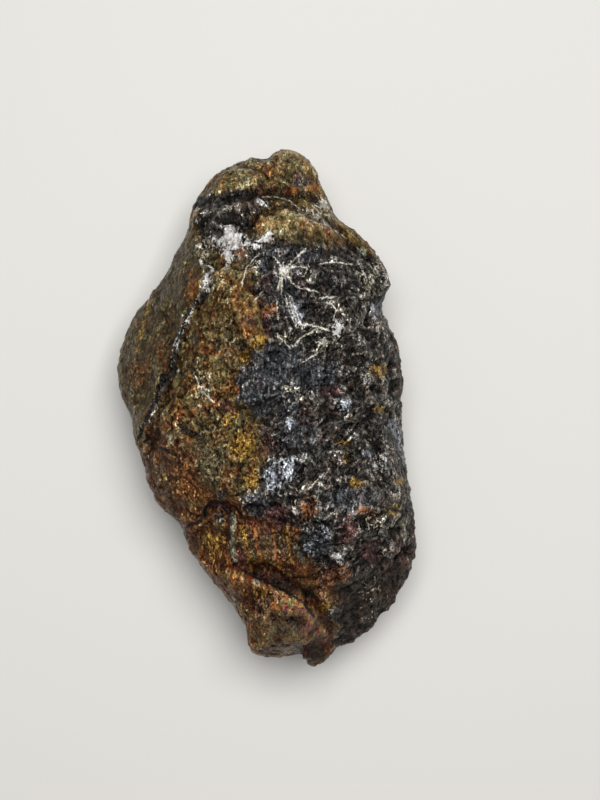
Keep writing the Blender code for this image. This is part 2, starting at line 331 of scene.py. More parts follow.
LUMPS = (
    # the show face
    Lump((9, 63, 38), 9.0, 1.3),
    Lump((-8, 62, 38), 9.0, 0.6),
    Lump((6, 47, 50), 9.0, 1.4),
    Lump((-6, 50, 50), 5.0, -1.6),
    Lump((-33, 12, 36), 15.0, 1.8),
    Lump((-32, -14, 36), 10.0, 1.2),
    Lump((-11.6, -29.4, 52), 4.4, 2.0),
    Lump((6, -58, 44), 12.0, 2.5),
    Lump((0, -42.5, 50), 4.0, -1.6),
    Lump((10, -46.5, 49), 5.5, -1.8),
    Lump((15, -68, 30), 6.0, 1.4),
    Lump((19, -43, 47), 7.0, 1.2),
    Lump((32, -33, 38), 9.0, 1.6),
    Lump((17, -3, 57), 6.0, -1.3),
    Lump((28, 33, 40), 10.0, 1.9),
    Lump((-2, 20, 56), 11.0, 0.9),
    Lump((12, 20, 56), 7.0, -0.9),
    # the underside and sides
    Lump((-14, -36, 8), 12.0, 2.2),
    Lump((18, 36, 8), 13.0, 2.0),
    Lump((-26, 28, 12), 11.0, -2.0),
    Lump((30, -42, 12), 11.0, -1.8),
    Lump((36, 6, 22), 9.0, 1.6),
    Lump((2, -60, 12), 9.0, -1.6),
    Lump((-34, -4, 16), 9.0, 1.2),
)

# Where each mineral shows, in pixels of the photograph's 600 by 800 frame
ZONES = {
    Mineral.GREY: (
        Zone(
            (
                (190, 196), (240, 190), (262, 196), (272, 206), (256, 216), (253, 240), (300, 243),
                (345, 250), (440, 262), (440, 690), (340, 662), (334, 622), (320, 590), (312, 558),
                (300, 532), (264, 520), (242, 504), (254, 486), (262, 468), (268, 445), (264, 420),
                (236, 402), (234, 380), (244, 362), (266, 345), (260, 300), (250, 262), (222, 256),
                (206, 236),
            ),
            14,
        ),
    ),
    Mineral.STRIATED: (
        Zone(
            (
                (196, 226), (204, 262), (200, 292), (184, 320), (174, 362), (158, 384), (140, 440),
                (80, 440), (80, 226),
            ),
            9,
        ),
    ),
    Mineral.RUSSET: (
        Zone(
            (
                (120, 400), (150, 410), (190, 440), (205, 490), (248, 504), (300, 526), (314, 558),
                (330, 600), (342, 640), (350, 700), (120, 700),
            ),
            24,
        ),
    ),
    Mineral.PEACOCK: (
        Zone(
            ((246, 592), (262, 580), (300, 596), (322, 618), (324, 640), (292, 640), (258, 626)),
            9, 0.9,
        ),
    ),
    Mineral.SLATE: (
        Zone(
            (
                (264, 344), (300, 342), (310, 372), (302, 396), (296, 414), (270, 418), (238, 404),
                (233, 386), (244, 362),
            ),
            7,
        ),
    ),
    # painted shade: the lower right end, which turns away from the light, and the recess under the
    # lobe's ledge
    Mineral.PITCH_AND_SHADE: (
        Zone(((332, 566), (352, 580), (380, 560), (430, 540), (430, 700), (336, 652)), 18, 0.84),
        Zone(((246, 570), (275, 574), (312, 584), (322, 606), (300, 600), (270, 584)), 7, 0.66),
    ),
}

SPOTS = {
    Mineral.OLIVE: (
        Spot(210, 460, 18, 32, 0.85), Spot(170, 438, 8, 10, 0.8), Spot(146, 322, 6, 16, 0.8),
        Spot(178, 302, 5, 10, 0.8), Spot(155, 372, 6, 24, 0.8), Spot(290, 232, 26, 8, 0.7),
        Spot(282, 650, 12, 6), Spot(228, 340, 22, 26, 0.72), Spot(245, 176, 26, 12, 0.7),
        Spot(373, 282, 11, 18, 0.72), Spot(285, 630, 34, 24, 0.7), Spot(266, 546, 26, 18, 0.8),
    ),
    Mineral.GOLD: (
        Spot(260, 342, 6, 10, 0.95), Spot(244, 356, 7, 7, 0.8), Spot(228, 418, 10, 11, 0.64),
        Spot(243, 445, 12, 12, 0.95), Spot(252, 481, 8, 10, 0.85), Spot(215, 545, 13, 26, 0.6),
        Spot(380, 370, 9, 6, 0.85), Spot(380, 410, 6, 5, 0.8), Spot(345, 443, 8, 4, 0.85),
        Spot(347, 460, 4, 5, 0.75), Spot(356, 485, 7, 5, 0.85), Spot(399, 482, 6, 4, 0.85),
        Spot(392, 510, 8, 5, 0.85), Spot(294, 162, 22, 12, 0.44), Spot(284, 220, 32, 13, 0.45),
        Spot(228, 180, 24, 12, 0.38), Spot(334, 590, 12, 18, 0.54), Spot(325, 608, 5, 4, 0.9),
        Spot(352, 238, 18, 9, 0.52), Spot(262, 593, 9, 7, 0.7), Spot(196, 500, 18, 20, 0.42),
    ),
    Mineral.RUST: (
        Spot(240, 249, 6, 7, 0.9), Spot(190, 283, 6, 18, 0.75), Spot(240, 302, 19, 15, 0.60),
        Spot(267, 311, 9, 7, 0.9), Spot(267, 170, 9, 6, 0.7), Spot(291, 190, 10, 5, 0.9),
        Spot(313, 188, 6, 4, 0.9), Spot(307, 510, 9, 11, 0.8), Spot(296, 532, 5, 9, 0.8),
        Spot(366, 513, 7, 5, 0.9), Spot(268, 548, 30, 22, 0.36), Spot(336, 587, 17, 20, 0.92),
        Spot(139, 370, 14, 18, 0.6), Spot(186, 480, 14, 30, 0.58), Spot(204, 350, 12, 4, 0.75),
        Spot(276, 608, 8, 6, 0.8), Spot(218, 590, 16, 22, 0.6), Spot(230, 392, 10, 8, 0.66),
        Spot(250, 330, 16, 14, 0.62), Spot(252, 478, 6, 8, 0.8), Spot(388, 590, 24, 44, 0.5),
    ),
    Mineral.CRIMSON: (
        Spot(265, 325, 4, 11), Spot(228, 406, 7, 8, 0.8), Spot(276, 517, 15, 13, 0.95),
        Spot(350, 533, 9, 13), Spot(370, 554, 9, 12), Spot(245, 320, 11, 6, 0.7),
        Spot(266, 280, 9, 11, 0.64), Spot(269, 446, 12, 17, 0.68), Spot(331, 390, 12, 5, 0.9),
        Spot(297, 177, 13, 9, 0.6), Spot(307, 630, 8, 6), Spot(240, 560, 8, 12, 0.7),
        Spot(400, 560, 10, 20, 0.7), Spot(308, 648, 6, 5, 0.8),
    ),
    # the middle spot is a painted green-yellow highlight on the lobe's lit rim
    Mineral.GREEN: (Spot(362, 252, 5, 5), Spot(290, 597, 11, 4, 0.55), Spot(256, 582, 3, 3)),
    Mineral.SLATE: (
        Spot(268, 262, 12, 14, 0.9), Spot(219, 519, 7, 8, 0.8), Spot(222, 496, 7, 7, 0.75),
        Spot(320, 375, 26, 22, 0.8), Spot(262, 508, 22, 12, 0.8), Spot(350, 500, 30, 14, 0.8),
        Spot(300, 440, 34, 26, 0.7), Spot(312, 545, 24, 18, 0.8), Spot(295, 255, 30, 10, 0.8),
        Spot(300, 182, 14, 9, 0.8),
    ),
    # painted glints: cleavage faces painted bluish-white where they catch the light
    Mineral.GLINTING_FACE: (
        Spot(273, 476, 8, 15, 0.95), Spot(287, 470, 8, 14, 0.85), Spot(311, 547, 6, 5, 0.85),
        Spot(290, 422, 6, 8, 0.66), Spot(336, 424, 8, 5, 0.7), Spot(247, 497, 9, 8, 0.62),
        Spot(322, 532, 14, 10, 0.6), Spot(345, 405, 10, 8, 0.75), Spot(294, 312, 9, 14, 0.8),
        Spot(376, 308, 5, 10, 0.8), Spot(366, 455, 8, 6, 0.7),
    ),
    Mineral.CREAM: (
        Spot(322, 346, 8, 9, 0.68), Spot(293, 393, 10, 8, 0.72), Spot(376, 524, 9, 6, 0.78),
        Spot(316, 328, 13, 5, 0.62), Spot(368, 278, 12, 14, 0.54), Spot(324, 204, 8, 8, 0.8),
        Spot(205, 244, 8, 26, 0.54), Spot(316, 214, 20, 10, 0.68), Spot(285, 270, 9, 10, 0.64),
        Spot(372, 594, 16, 22, 0.3), Spot(338, 306, 8, 10, 0.5), Spot(286, 338, 10, 8, 0.62),
        Spot(252, 268, 7, 10, 0.64), Spot(205, 388, 6, 14, 0.62), Spot(292, 222, 24, 8, 0.3),
    ),
    Mineral.CALCITE: (
        Spot(229, 238, 16, 10), Spot(226, 256, 4, 9), Spot(256, 199, 3, 5, 0.9),
        Spot(262, 203, 5, 3, 0.9), Spot(184, 231, 2.5, 4), Spot(208, 281, 4, 9, 0.9),
        Spot(380, 463, 8, 9, 0.62), Spot(338, 329, 5, 8, 0.9), Spot(337, 558, 5, 5),
        Spot(283, 270, 3.5, 3.5, 0.9), Spot(187, 321, 2, 3), Spot(181, 334, 2, 2),
        Spot(176, 346, 2, 3), Spot(172, 361, 2, 2), Spot(176, 371, 2, 2), Spot(198, 246, 3, 2),
        Spot(212, 268, 3, 3), Spot(200, 262, 2, 3), Spot(323, 204, 8, 6, 0.72),
        Spot(196, 222, 2, 4),
    ),
    # black pits, and painted shade under the cap's lip, along the seam, under the right shoulder
    # and over the lower end
    Mineral.PITCH_AND_SHADE: (
        Spot(248, 203, 10, 12), Spot(231, 216, 9, 8), Spot(219, 233, 5, 5),
        Spot(203, 296, 4, 5, 0.8), Spot(332, 422, 12, 20, 0.75), Spot(294, 452, 7, 4),
        Spot(337, 644, 8, 4), Spot(352, 624, 16, 20, 0.85), Spot(386, 600, 24, 34, 0.66),
        Spot(270, 264, 5, 8, 0.8), Spot(399, 380, 14, 52, 0.5), Spot(318, 656, 16, 12, 0.76),
        Spot(285, 624, 42, 32, 0.56), Spot(338, 600, 20, 22, 0.36), Spot(360, 550, 28, 24, 0.5),
        Spot(380, 276, 14, 18, 0.4), Spot(196, 262, 8, 34, 0.5), Spot(350, 385, 40, 40, 0.34),
    ),
}

STREAKS = {
    # a painted glint along the right-hand edge facet
    Mineral.GLINTING_FACE: (Streak(2.6, ((391, 421), (396, 434), (401, 447), (406, 463))),),
    # painted shade along the right-hand rim
    Mineral.PITCH_AND_SHADE: (
        Streak(10.0, ((392, 310), (402, 360), (409, 420), (413, 480), (415, 540), (404, 590)), 0.7),
    ),
    Mineral.CALCITE: (Streak(3.6, ((271, 234), (262, 239), (254, 246))),),
    Mineral.GREY: (
        Streak(
            5.0,
            (
                (200, 214), (204, 240), (207, 264), (204, 288), (190, 312), (181, 332),
                (174, 352), (168, 374), (157, 396), (146, 424),
            ),
            0.74,
        ),
    ),
    Mineral.GREEN: (
        Streak(2.2, ((233, 515), (231, 540), (235, 562)), 0.9),
        Streak(2.0, ((233, 598), (232, 620), (238, 635)), 0.8),
    ),
    Mineral.GOLD: (
        Streak(2.0, ((240, 526), (246, 548), (250, 572)), 0.8),
        Streak(1.8, ((286, 528), (290, 548), (292, 566)), 0.8),
        Streak(2.0, ((150, 300), (140, 330), (134, 352)), 0.7),
    ),
    Mineral.RUST: (
        Streak(2.2, ((252, 524), (256, 548), (262, 572)), 0.85),
        Streak(2.0, ((272, 530), (276, 552), (282, 572)), 0.85),
        Streak(1.5, ((200, 347), (210, 354), (222, 352)), 0.9),
    ),
}

# Thin crooked threads of calcite
THREADS = (
    Streak(1.4, ((284, 271), (275, 258))), Streak(1.5, ((282, 271), (296, 258), (305, 250))),
    Streak(1.3, ((280, 270), (298, 266), (308, 268), (304, 276))),
    Streak(1.4, ((281, 267), (291, 282), (300, 288), (318, 292))),
    Streak(1.3, ((283, 268), (281, 293))), Streak(1.2, ((281, 278), (277, 290))),
    Streak(1.1, ((320, 264), (334, 262), (350, 264))), Streak(1.5, ((322, 298), (335, 297))),
    Streak(1.2, ((330, 302), (336, 310), (334, 318))), Streak(1.4, ((277, 302), (278, 318))),
    Streak(1.2, ((286, 298), (289, 310), (296, 326))),
    Streak(1.2, ((292, 298), (296, 312), (302, 328))),
    Streak(1.1, ((242, 285), (246, 268), (258, 255))), Streak(1.2, ((255, 300), (262, 292))),
    Streak(1.6, ((300, 324), (314, 326), (328, 330))),
    Streak(1.3, ((314, 330), (300, 338), (295, 345))),
    Streak(1.1, ((278, 335), (284, 341), (290, 348))), Streak(1.2, ((303, 362), (318, 353))),
    Streak(1.1, ((194, 373), (200, 388), (213, 402)), 0.6), Streak(1.1, ((310, 488), (322, 475))),
    Streak(
        1.2, ((262, 197), (276, 197), (290, 201), (300, 209), (312, 214), (322, 223), (338, 232)),
        0.6,
    ),
    Streak(1.1, ((318, 214), (334, 230), (352, 242), (366, 258)), 0.5),
    Streak(1.1, ((358, 264), (366, 276), (370, 292)), 0.55),
    Streak(1.1, ((372, 262), (380, 276), (382, 292)), 0.45),
    Streak(1.2, ((172, 366), (176, 345), (181, 330), (190, 316), (196, 300)), 0.42),
)

# Cracks, and painted shadow lines under the cap's lip, the notch's knob, the small ledge beside it,
# the right shoulder, the golden bulge, the ledge on the right and the lobe's ledge
CRACKS_AND_SHADOW_LINES = (
    Streak(1.5, ((275, 422), (288, 414), (300, 405))),
    Streak(1.8, ((345, 440), (360, 425), (375, 415))),
    Streak(2.3, ((162, 376), (155, 400), (148, 415), (143, 425), (138, 440))),
    Streak(1.4, ((176, 371), (172, 362), (176, 345), (182, 330), (186, 318)), 0.6),
    Streak(2.3, ((204, 517), (206, 509), (211, 505), (218, 505), (224, 507), (229, 513))),
    Streak(2.0, ((187, 527), (200, 522))),
    Streak(1.6, ((364, 300), (376, 300), (386, 296)), 0.9),
    Streak(1.7, ((178, 425), (190, 432), (201, 437)), 0.9),
    Streak(1.6, ((160, 448), (168, 452), (176, 456)), 0.9),
    Streak(1.8, ((246, 572), (262, 580), (282, 590), (300, 600), (314, 616)), 0.8),
    Streak(1.6, ((196, 206), (216, 198), (238, 192), (262, 196)), 0.85),
    Streak(1.4, ((255, 243), (280, 246), (306, 245), (330, 252), (352, 262)), 0.75),
    Streak(1.7, ((366, 502), (384, 508), (402, 512)), 0.8),
)

# What is strewn on the sides and underside, and a little of it all over
BROAD_PATCHES = Wander(26.0, 51.0, 3)
SMALL_PATCHES = Wander(7.0, 53.0, 3)
STREWN = (
    Strewn(Mineral.GOLD, SMALL_PATCHES, 0, 0.0, 0.28, 0.06),
    Strewn(Mineral.RUST, SMALL_PATCHES, 1, 0.06, 0.30, 0.10),
    Strewn(Mineral.CRIMSON, SMALL_PATCHES, 2, 0.06, 0.30),
    Strewn(Mineral.OLIVE, BROAD_PATCHES, 1, 0.26, 0.34, 0.24),
    Strewn(Mineral.SLATE, BROAD_PATCHES, 0, 0.20, 0.36),
    Strewn(Mineral.PEACOCK, BROAD_PATCHES, 2, 0.10, 0.34),
)


def scattered(cells: np.ndarray, salt: float) -> np.ndarray:
    """Gives three numbers for each cell of a grid, always the same for the same cell.

    Args:
        cells: whole numbers, a row for each cell.
        salt: picks one set of numbers, so that each use has its own.

    Returns:
        Three numbers from 0 to 1 in each row.
    """
    return np.modf(np.abs(np.sin((cells + salt) @ HASH_TURNS) * HASH_GAIN))[0]


def firm(amount: np.ndarray, gain: float, start: float) -> np.ndarray:
    """Returns an amount made 0 at its soft edge and 1 well inside."""
    return np.clip(gain * amount - start, 0, 1)


def rising(heights: np.ndarray, start: float, span: float) -> np.ndarray:
    """Returns 0 up to the height start, rising to 1 over span."""
    return np.clip((heights - start) / span, 0, 1)


def beside_line(flat: np.ndarray, line: Route) -> tuple[np.ndarray, np.ndarray]:
    """Measures points against a line of several spans.

    Args:
        flat: rows whose first two numbers are the point's place.
        line: the line's points.

    Returns:
        How far each point lies to the left of the line, below 0 to its right, and how far past
        its ends.
    """
    flat = flat[:, :2]
    nearest = np.full(len(flat), np.inf)
    side, past = np.zeros(len(flat)), np.zeros(len(flat))
    last = len(line) - 2
    for k, (start, end) in enumerate(itertools.pairwise(np.array(line, float))):
        along = end - start
        length = math.hypot(*along)
        unit = along / length
        to_point = flat - start
        run = to_point @ unit
        before, after = np.maximum(0, -run), np.maximum(0, run - length)
        offset = unit[0] * to_point[:, 1] - unit[1] * to_point[:, 0]
        distance = np.hypot(before + after, offset)
        closer = distance < nearest
        nearest = np.where(closer, distance, nearest)
        side = np.where(closer, np.where(offset < 0, -distance, distance), side)
        past = np.where(closer, before * (k == 0) + after * (k == last), past)
    return side, past


def nearest_line(pixels: np.ndarray, lines: tuple[Streak, ...]) -> tuple[np.ndarray, np.ndarray]:
    """Measures pixels against the nearest of several lines, so that a shader can draw thin ones.

    Args:
        pixels: rows of pixels across and down.
        lines: the lines.

    Returns:
        How far each pixel lies to one side of the line, in half-widths from -LINE_REACH to
        LINE_REACH, and the line's strength, which fades out at that distance.
    """
    nearest = np.full(len(pixels), np.inf)
    aside, near = np.zeros(len(pixels)), np.zeros(len(pixels))
    for streak in lines:
        side, past = beside_line(pixels, streak.line)
        away = np.hypot(side, past) / streak.half_width
        closer = away < nearest
        nearest = np.where(closer, away, nearest)
        aside = np.where(closer, side / streak.half_width, aside)
        near = np.where(closer, streak.strength * np.clip(1 - away / LINE_REACH, 0, 1), near)
    return np.clip(aside, -LINE_REACH, LINE_REACH), near


@dataclass(frozen=True)
class PhotoView:
    """Where the camera stands, and where a point of the lump falls on the photograph's frame."""

    eye: tuple[float, float, float] = (9.2, 2.3, 447.0)
    lens: float = 68.8
    sensor: float = 36.0
    frame_width: float = 600.0
    frame_height: float = 800.0
    nearest_seen: float = 10.0

    def pixels(self, points: np.ndarray) -> np.ndarray:
        """Projects points onto the frame.

        Args:
            points: rows of X, Y and Z.

        Returns:
            Rows of pixels across and down.
        """
        x, y, depth = (points - self.eye).T * ((1,), (1,), (-1,))
        scale = self.lens / self.sensor * self.frame_height
        across = self.frame_width / 2 + scale * x / depth
        return np.stack([across, self.frame_height / 2 - scale * y / depth], 1)

    def stand(self) -> None:
        """Adds the camera, looking straight down with the lump's narrow end at the top."""
        data = bpy.data.cameras.new("photo_view")
        data.sensor_fit = "VERTICAL"
        data.sensor_height = self.sensor
        data.lens = self.lens
        data.clip_start = self.nearest_seen * METRES_PER_MM
        camera = bpy.data.objects.new("photo_view", data)
        camera.location = Vector(self.eye) * METRES_PER_MM
        bpy.context.scene.collection.objects.link(camera)
        bpy.context.scene.camera = camera


@dataclass
class Skin:
    """A closed surface of four-sided faces, in millimetres."""

    points: np.ndarray
    quads: np.ndarray

    @classmethod
    def of_block(cls, cells: tuple[int, int, int]) -> "Skin":
        """Makes the surface of a cube from -1 to 1.

        Args:
            cells: how many cells it has along X, Y and Z.

        Returns:
            The cube's skin, with each grid point once.
        """
        grid = np.stack(np.meshgrid(*(np.arange(n + 1) for n in cells), indexing="ij"), -1)
        outer = ((grid == 0) | (grid == cells)).any(-1)
        number = np.full(outer.shape, -1)
        number[outer] = np.arange(outer.sum())
        quads = []
        for axis, end in itertools.product(range(3), (0, 1)):
            sheet = np.moveaxis(number, axis, 0)[-end]
            if axis == 1:
                sheet = sheet.T  # so that these sides face outwards too
            ring = (sheet[:-1, :-1], sheet[1:, :-1], sheet[1:, 1:], sheet[:-1, 1:])
            quads.append(np.stack(ring if end else ring[::-1], -1).reshape(-1, 4))
        return cls(2.0 * grid[outer] / cells - 1.0, np.concatenate(quads))

    def gathered(self, values: np.ndarray) -> np.ndarray:
        """Sums the faces' values at their corners.

        Args:
            values: a row of three numbers for each face.

        Returns:
            A row of three numbers for each point.
        """
        corners, count = self.quads.ravel(), len(self.points)
        return np.stack(
            [np.bincount(corners, np.repeat(column, 4), count) for column in values.T], 1
        )

    def normals(self) -> np.ndarray:
        """Finds the way out at each point.

        Returns:
            Directions, one long.
        """
        a, b, c, d = (self.points[self.quads[:, k]] for k in range(4))
        total = self.gathered(np.cross(c - a, d - b))
        return total / np.linalg.norm(total, axis=1)[:, None]

    def smoothed(self, rounds: int) -> np.ndarray:
        """Evens the points out over the faces.

        Args:
            rounds: how often each is moved to the mean of the faces round it.

        Returns:
            The evened points.
        """
        points = self.points
        faces_at = np.bincount(self.quads.ravel(), minlength=len(points))[:, None]
        for _ in range(rounds):
            points = self.gathered(points[self.quads].mean(1)) / faces_at
        return points


@dataclass
class OreLump:
    """The whole lump: one natural piece, dressed with one finish of many minerals."""

    width: float = 82.0
    length: float = 142.0
    height: float = 60.0
    # The smooth body: where its rim lies, and how it swells above and below
    rim_height: float = 27.0
    crown_height: float = 36.0
    belly_depth: float = 29.5
    crown_fullness: float = 0.82
    belly_fullness: float = 0.86
    cells: tuple[int, int, int] = (118, 205, 79)
    loop_steps: int = 8
    facet_softness: float = 0.9
    nearly_level: float = 0.02
    # The ledges' lips in mm, and their feet and ends in lips
    lip: float = 1.25
    lip_steepness: float = 3.0
    foot_at: float = 1.6
    foot_width: float = 1.4
    end_fade: float = 2.0
    show_fade: float = 8.0
    lump_power: float = 1.5
    # How much of a sideways move is left out at the rim, so that the outline stays
    rim_hold: float = 0.8
    fine_hold: float = 0.3
    rim_band: float = 14.0
    rest_snap: float = 0.5
    chip_tilt: float = 1.6
    chip_scatter: float = 0.85
    broad_breakage: Breakage = Breakage(34.0, 2.4, 4.0)
    chip_breakage: tuple[Breakage, ...] = (Breakage(15.0, 1.5, 15.0), Breakage(7.5, 0.5, 15.0))
    # Finer than the CAD's: what a hand lens would show as steps, hackle and grain
    fine_breakage: tuple[Breakage, ...] = (
        Breakage(4.0, 0.46, 14.0),
        Breakage(2.1, 0.34, 12.0),
        Breakage(1.2, 0.28, 9.0),
    )
    fine_bend: Wander = Wander(3.2, 61.0, 2, 0.7)
    # The share of that rise on the brown ground, what the grey sulphide adds to it, and what the
    # drawn-out flank takes off
    fine_share: float = 0.8
    grey_adds: float = 0.35
    flank_takes: float = 0.3
    drawn_grain: Wander = Wander(1.1, 67.0, 2)
    drawn_squeeze: tuple[float, float, float] = (1.0, 0.22, 1.0)
    drawn_rise: float = 0.10
    # Where an amount is firm enough to shape the surface: its gain and what is taken off
    flank_core: tuple[float, float] = (2.0, 0.6)
    grey_core: tuple[float, float] = (2.0, 0.5)
    hollow_core: tuple[float, float] = (1.6, 0.3)
    crust_core: tuple[float, float] = (2.0, 0.7)
    crack_depth: float = 0.9
    hollow_depth: float = 1.3
    crust_rise: float = 0.22
    foot_fade: float = 1.5
    # The height where the photograph's marks end on the sides, the one below which minerals are
    # strewn, how much more is strewn there, and the width over which grey takes over from brown
    marks_from: float = 18.0
    strewn_below: float = 26.0
    side_fade: float = 10.0
    strewn_more: float = 0.22
    grey_side_span: float = 90.0
    # What makes the marks' edges crooked, in pixels, and how much more it does so for zones
    shakes: tuple[Wander, ...] = (Wander(5.0, 41.0, 2, 1.6), Wander(1.6, 43.0))
    zone_shake: float = 3.0
    # How many cells round each point are looked at for crests, and the height of a full one
    crests: tuple[tuple[str, int, float], ...] = (
        ("grain_relief", 3, 0.16), ("chip_relief", 14, 0.7),
    )
    map_radius: float = 0.235  # of each half of the bake map
    view: PhotoView = PhotoView()

    def rim_scale(self, angles: np.ndarray) -> np.ndarray:
        """Gives how far the outline lies from the middle, as a share of the plain ellipse.

        The outline is a Catmull-Rom curve through its points.

        Args:
            angles: bearings on the ellipse, in radians.

        Returns:
            The share at each angle.
        """
        p1 = np.array(OUTLINE, float)
        p0, p2, p3 = np.roll(p1, 1, 0), np.roll(p1, -1, 0), np.roll(p1, -2, 0)
        spans = []
        for t in np.arange(self.loop_steps) / self.loop_steps:
            spans.append(
                p1
                + 0.5 * t * (p2 - p0)
                + t**2 * (p0 - 2.5 * p1 + 2 * p2 - 0.5 * p3)
                + t**3 * (1.5 * (p1 - p2) + 0.5 * (p3 - p0))
            )
        loop = np.stack(spans, 1).reshape(-1, 2)
        x, y = (loop / (self.width / 2, self.length / 2)).T
        at = np.arctan2(y, x)
        order = np.argsort(at)
        return np.interp(angles, at[order], np.hypot(x, y)[order], period=2 * math.pi)

    def on_ball(self, cube: np.ndarray) -> np.ndarray:
        """Moves a cube's points onto the unit ball, with the cells kept nearly even.

        Args:
            cube: rows of X, Y and Z on a cube from -1 to 1.

        Returns:
            The points on the ball.
        """
        squares = cube**2
        others = np.roll(squares, 1, 1), np.roll(squares, 2, 1)
        return cube * np.sqrt(1 - others[0] / 2 - others[1] / 2 + others[0] * others[1] / 3)

    def body_form(self, ball: np.ndarray) -> np.ndarray:
        """Swells the ball to the smooth body, which has the outline at rim height.

        Args:
            ball: points on the unit ball.

        Returns:
            The points on the body.
        """
        angle = np.arctan2(ball[:, 1], ball[:, 0])
        reach = np.hypot(ball[:, 0], ball[:, 1]) * self.rim_scale(angle)
        up = np.clip(ball[:, 2], 0, 1) ** self.crown_fullness * self.crown_height
        down = np.clip(-ball[:, 2], 0, 1) ** self.belly_fullness * self.belly_depth
        x = self.width / 2 * reach * np.cos(angle)
        y = self.length / 2 * reach * np.sin(angle)
        return np.stack([x, y, self.rim_height + up - down], 1)

    def chiselled(self, points: np.ndarray) -> np.ndarray:
        """Draws what stands outside each facet in towards the heart.

        Args:
            points: rows of X, Y and Z.

        Returns:
            The points that are left.
        """
        heart = np.array([0.0, 0.0, self.rim_height])
        spokes = points - heart
        lengths = np.linalg.norm(spokes, axis=1)
        soft, reach = self.facet_softness, lengths
        for facet in FACETS:
            normal = facet.normal()
            towards = np.maximum(spokes @ normal / lengths, self.nearly_level)
            to_facet = (facet.at - heart) @ normal / towards
            reach = -np.logaddexp(-reach / soft, -to_facet / soft) * soft
        return heart + spokes * (reach / lengths)[:, None]

    def ledge_relief(self, points: np.ndarray) -> np.ndarray:
        """Finds how the ledges of the show face raise and dig it.

        Args:
            points: rows of X, Y and Z.

        Returns:
            How much each point rises.
        """
        show = rising(points[:, 2], self.rim_height, self.show_fade)
        rise = np.zeros(len(points))
        for ledge in LEDGES:
            side, past = beside_line(points, ledge.line)
            side = side * (1 if ledge.rise > 0 else -1)
            step = 1 / (1 + np.exp(-self.lip_steepness * side / self.lip))
            high = step * np.exp(-np.clip(side, 0, None) / ledge.reach)
            foot = np.exp(-(((side / self.lip + self.foot_at) / self.foot_width) ** 2))
            fade = np.exp(-((past / self.lip / self.end_fade) ** 2))
            rise += show * fade * (abs(ledge.rise) * high - ledge.trough * foot)
        return rise

    def lump_relief(self, points: np.ndarray) -> np.ndarray:
        """Finds how the lumps and hollows raise and dig the surface.

        Args:
            points: rows of X, Y and Z.

        Returns:
            How much each point rises.
        """
        rise = np.zeros(len(points))
        for lump in LUMPS:
            share = np.linalg.norm(points - lump.at, axis=1) / lump.radius
            rise += lump.rise * np.clip(1 - share**2, 0, 1) ** self.lump_power
        return rise

    def broken_relief(self, points: np.ndarray, breakage: Breakage) -> np.ndarray:
        """Gives the relief of a broken surface, where each cell of a grid holds one chip.

        Args:
            points: rows of X, Y and Z.
            breakage: the chips' size, rise and crispness.

        Returns:
            How much each point rises.
        """
        places = points @ GRID_TURN / breakage.size
        home = np.floor(places)
        margin = (1 - self.chip_scatter) / 2
        rise, share = np.zeros(len(points)), np.full(len(points), LEAST)
        for step in itertools.product((-1, 0, 1), repeat=3):
            cells = home + step
            offset = places - cells - margin - self.chip_scatter * scattered(cells, CHIP_PLACE)
            distance = np.linalg.norm(offset, axis=1)
            fade = np.clip(1 - (distance / (1 + margin)) ** 2, 0, 1) ** 2
            weight = np.exp(-breakage.crispness * distance) * fade
            lean = 2 * scattered(cells, CHIP_LEAN) - 1
            level = scattered(cells, CHIP_LEVEL)[:, 0] - 0.5
            rise += weight * (self.chip_tilt * np.sum(offset * lean, axis=1) + level)
            share += weight
        return breakage.rise * rise / share

    def raise_by(self, skin: Skin, rise: np.ndarray, hold: float) -> None:
        """Moves each point along its normal, but less to the side near the rim.

        Args:
            skin: the surface that is changed.
            rise: how far each point moves.
            hold: how much of the sideways move is left out at the rim, from 0 to 1.
        """
        moves = skin.normals() * rise[:, None]
        held = hold * np.exp(-(((skin.points[:, 2] - self.rim_height) / self.rim_band) ** 2))
        moves[:, :2] *= (1 - held)[:, None]
        skin.points = skin.points + moves

    def settle(self, skin: Skin) -> None:
        """Presses what reaches the floor flat on it, and makes the box exactly the lump's size.

        Args:
            skin: the surface that is changed.
        """
        points = skin.points.copy()
        points[points[:, 2] < self.rest_snap, 2] = 0
        low, high = points.min(0), points.max(0)
        middle = np.array([(low[0] + high[0]) / 2, (low[1] + high[1]) / 2, 0])
        skin.points = (points - middle) * (self.width, self.length, self.height) / (high - low)

    def large_form(self) -> tuple[Skin, np.ndarray]:
        """Makes the form that the CAD has, on the fine lattice.

        Returns:
            The skin, and its points' places on the unit ball.
        """
        skin = Skin.of_block(self.cells)
        ball = self.on_ball(skin.points)
        skin.points = self.chiselled(self.body_form(ball))
        broad = self.broken_relief(skin.points, self.broad_breakage)
        self.raise_by(skin, broad + self.lump_relief(skin.points), self.rim_hold)
        skin.points = skin.points + np.outer(self.ledge_relief(skin.points), (0, 0, 1))
        chips = sum(self.broken_relief(skin.points, layer) for layer in self.chip_breakage)
        self.raise_by(skin, chips, self.rim_hold)
        self.settle(skin)
        return skin, ball

    def marks(self, points: np.ndarray) -> dict[Mineral, np.ndarray]:
        """Finds how much of each mineral the photograph shows at each point.

        Args:
            points: rows of X, Y and Z.

        Returns:
            The amounts, 0.5 at a mineral's edge.
        """
        shake = sum(wander.at(points)[:, :2] for wander in self.shakes)
        pixels = self.view.pixels(points)
        show = rising(points[:, 2], self.marks_from, self.side_fade)
        amounts = {}
        for mineral in Mineral:
            amount = np.zeros(len(points))
            for mark in (*SPOTS.get(mineral, ()), *STREAKS.get(mineral, ())):
                amount = np.maximum(amount, mark.amount(pixels + shake) * show)
            for zone in ZONES.get(mineral, ()):
                amount = np.maximum(amount, zone.amount(pixels + self.zone_shake * shake))
            amounts[mineral] = amount
        return amounts

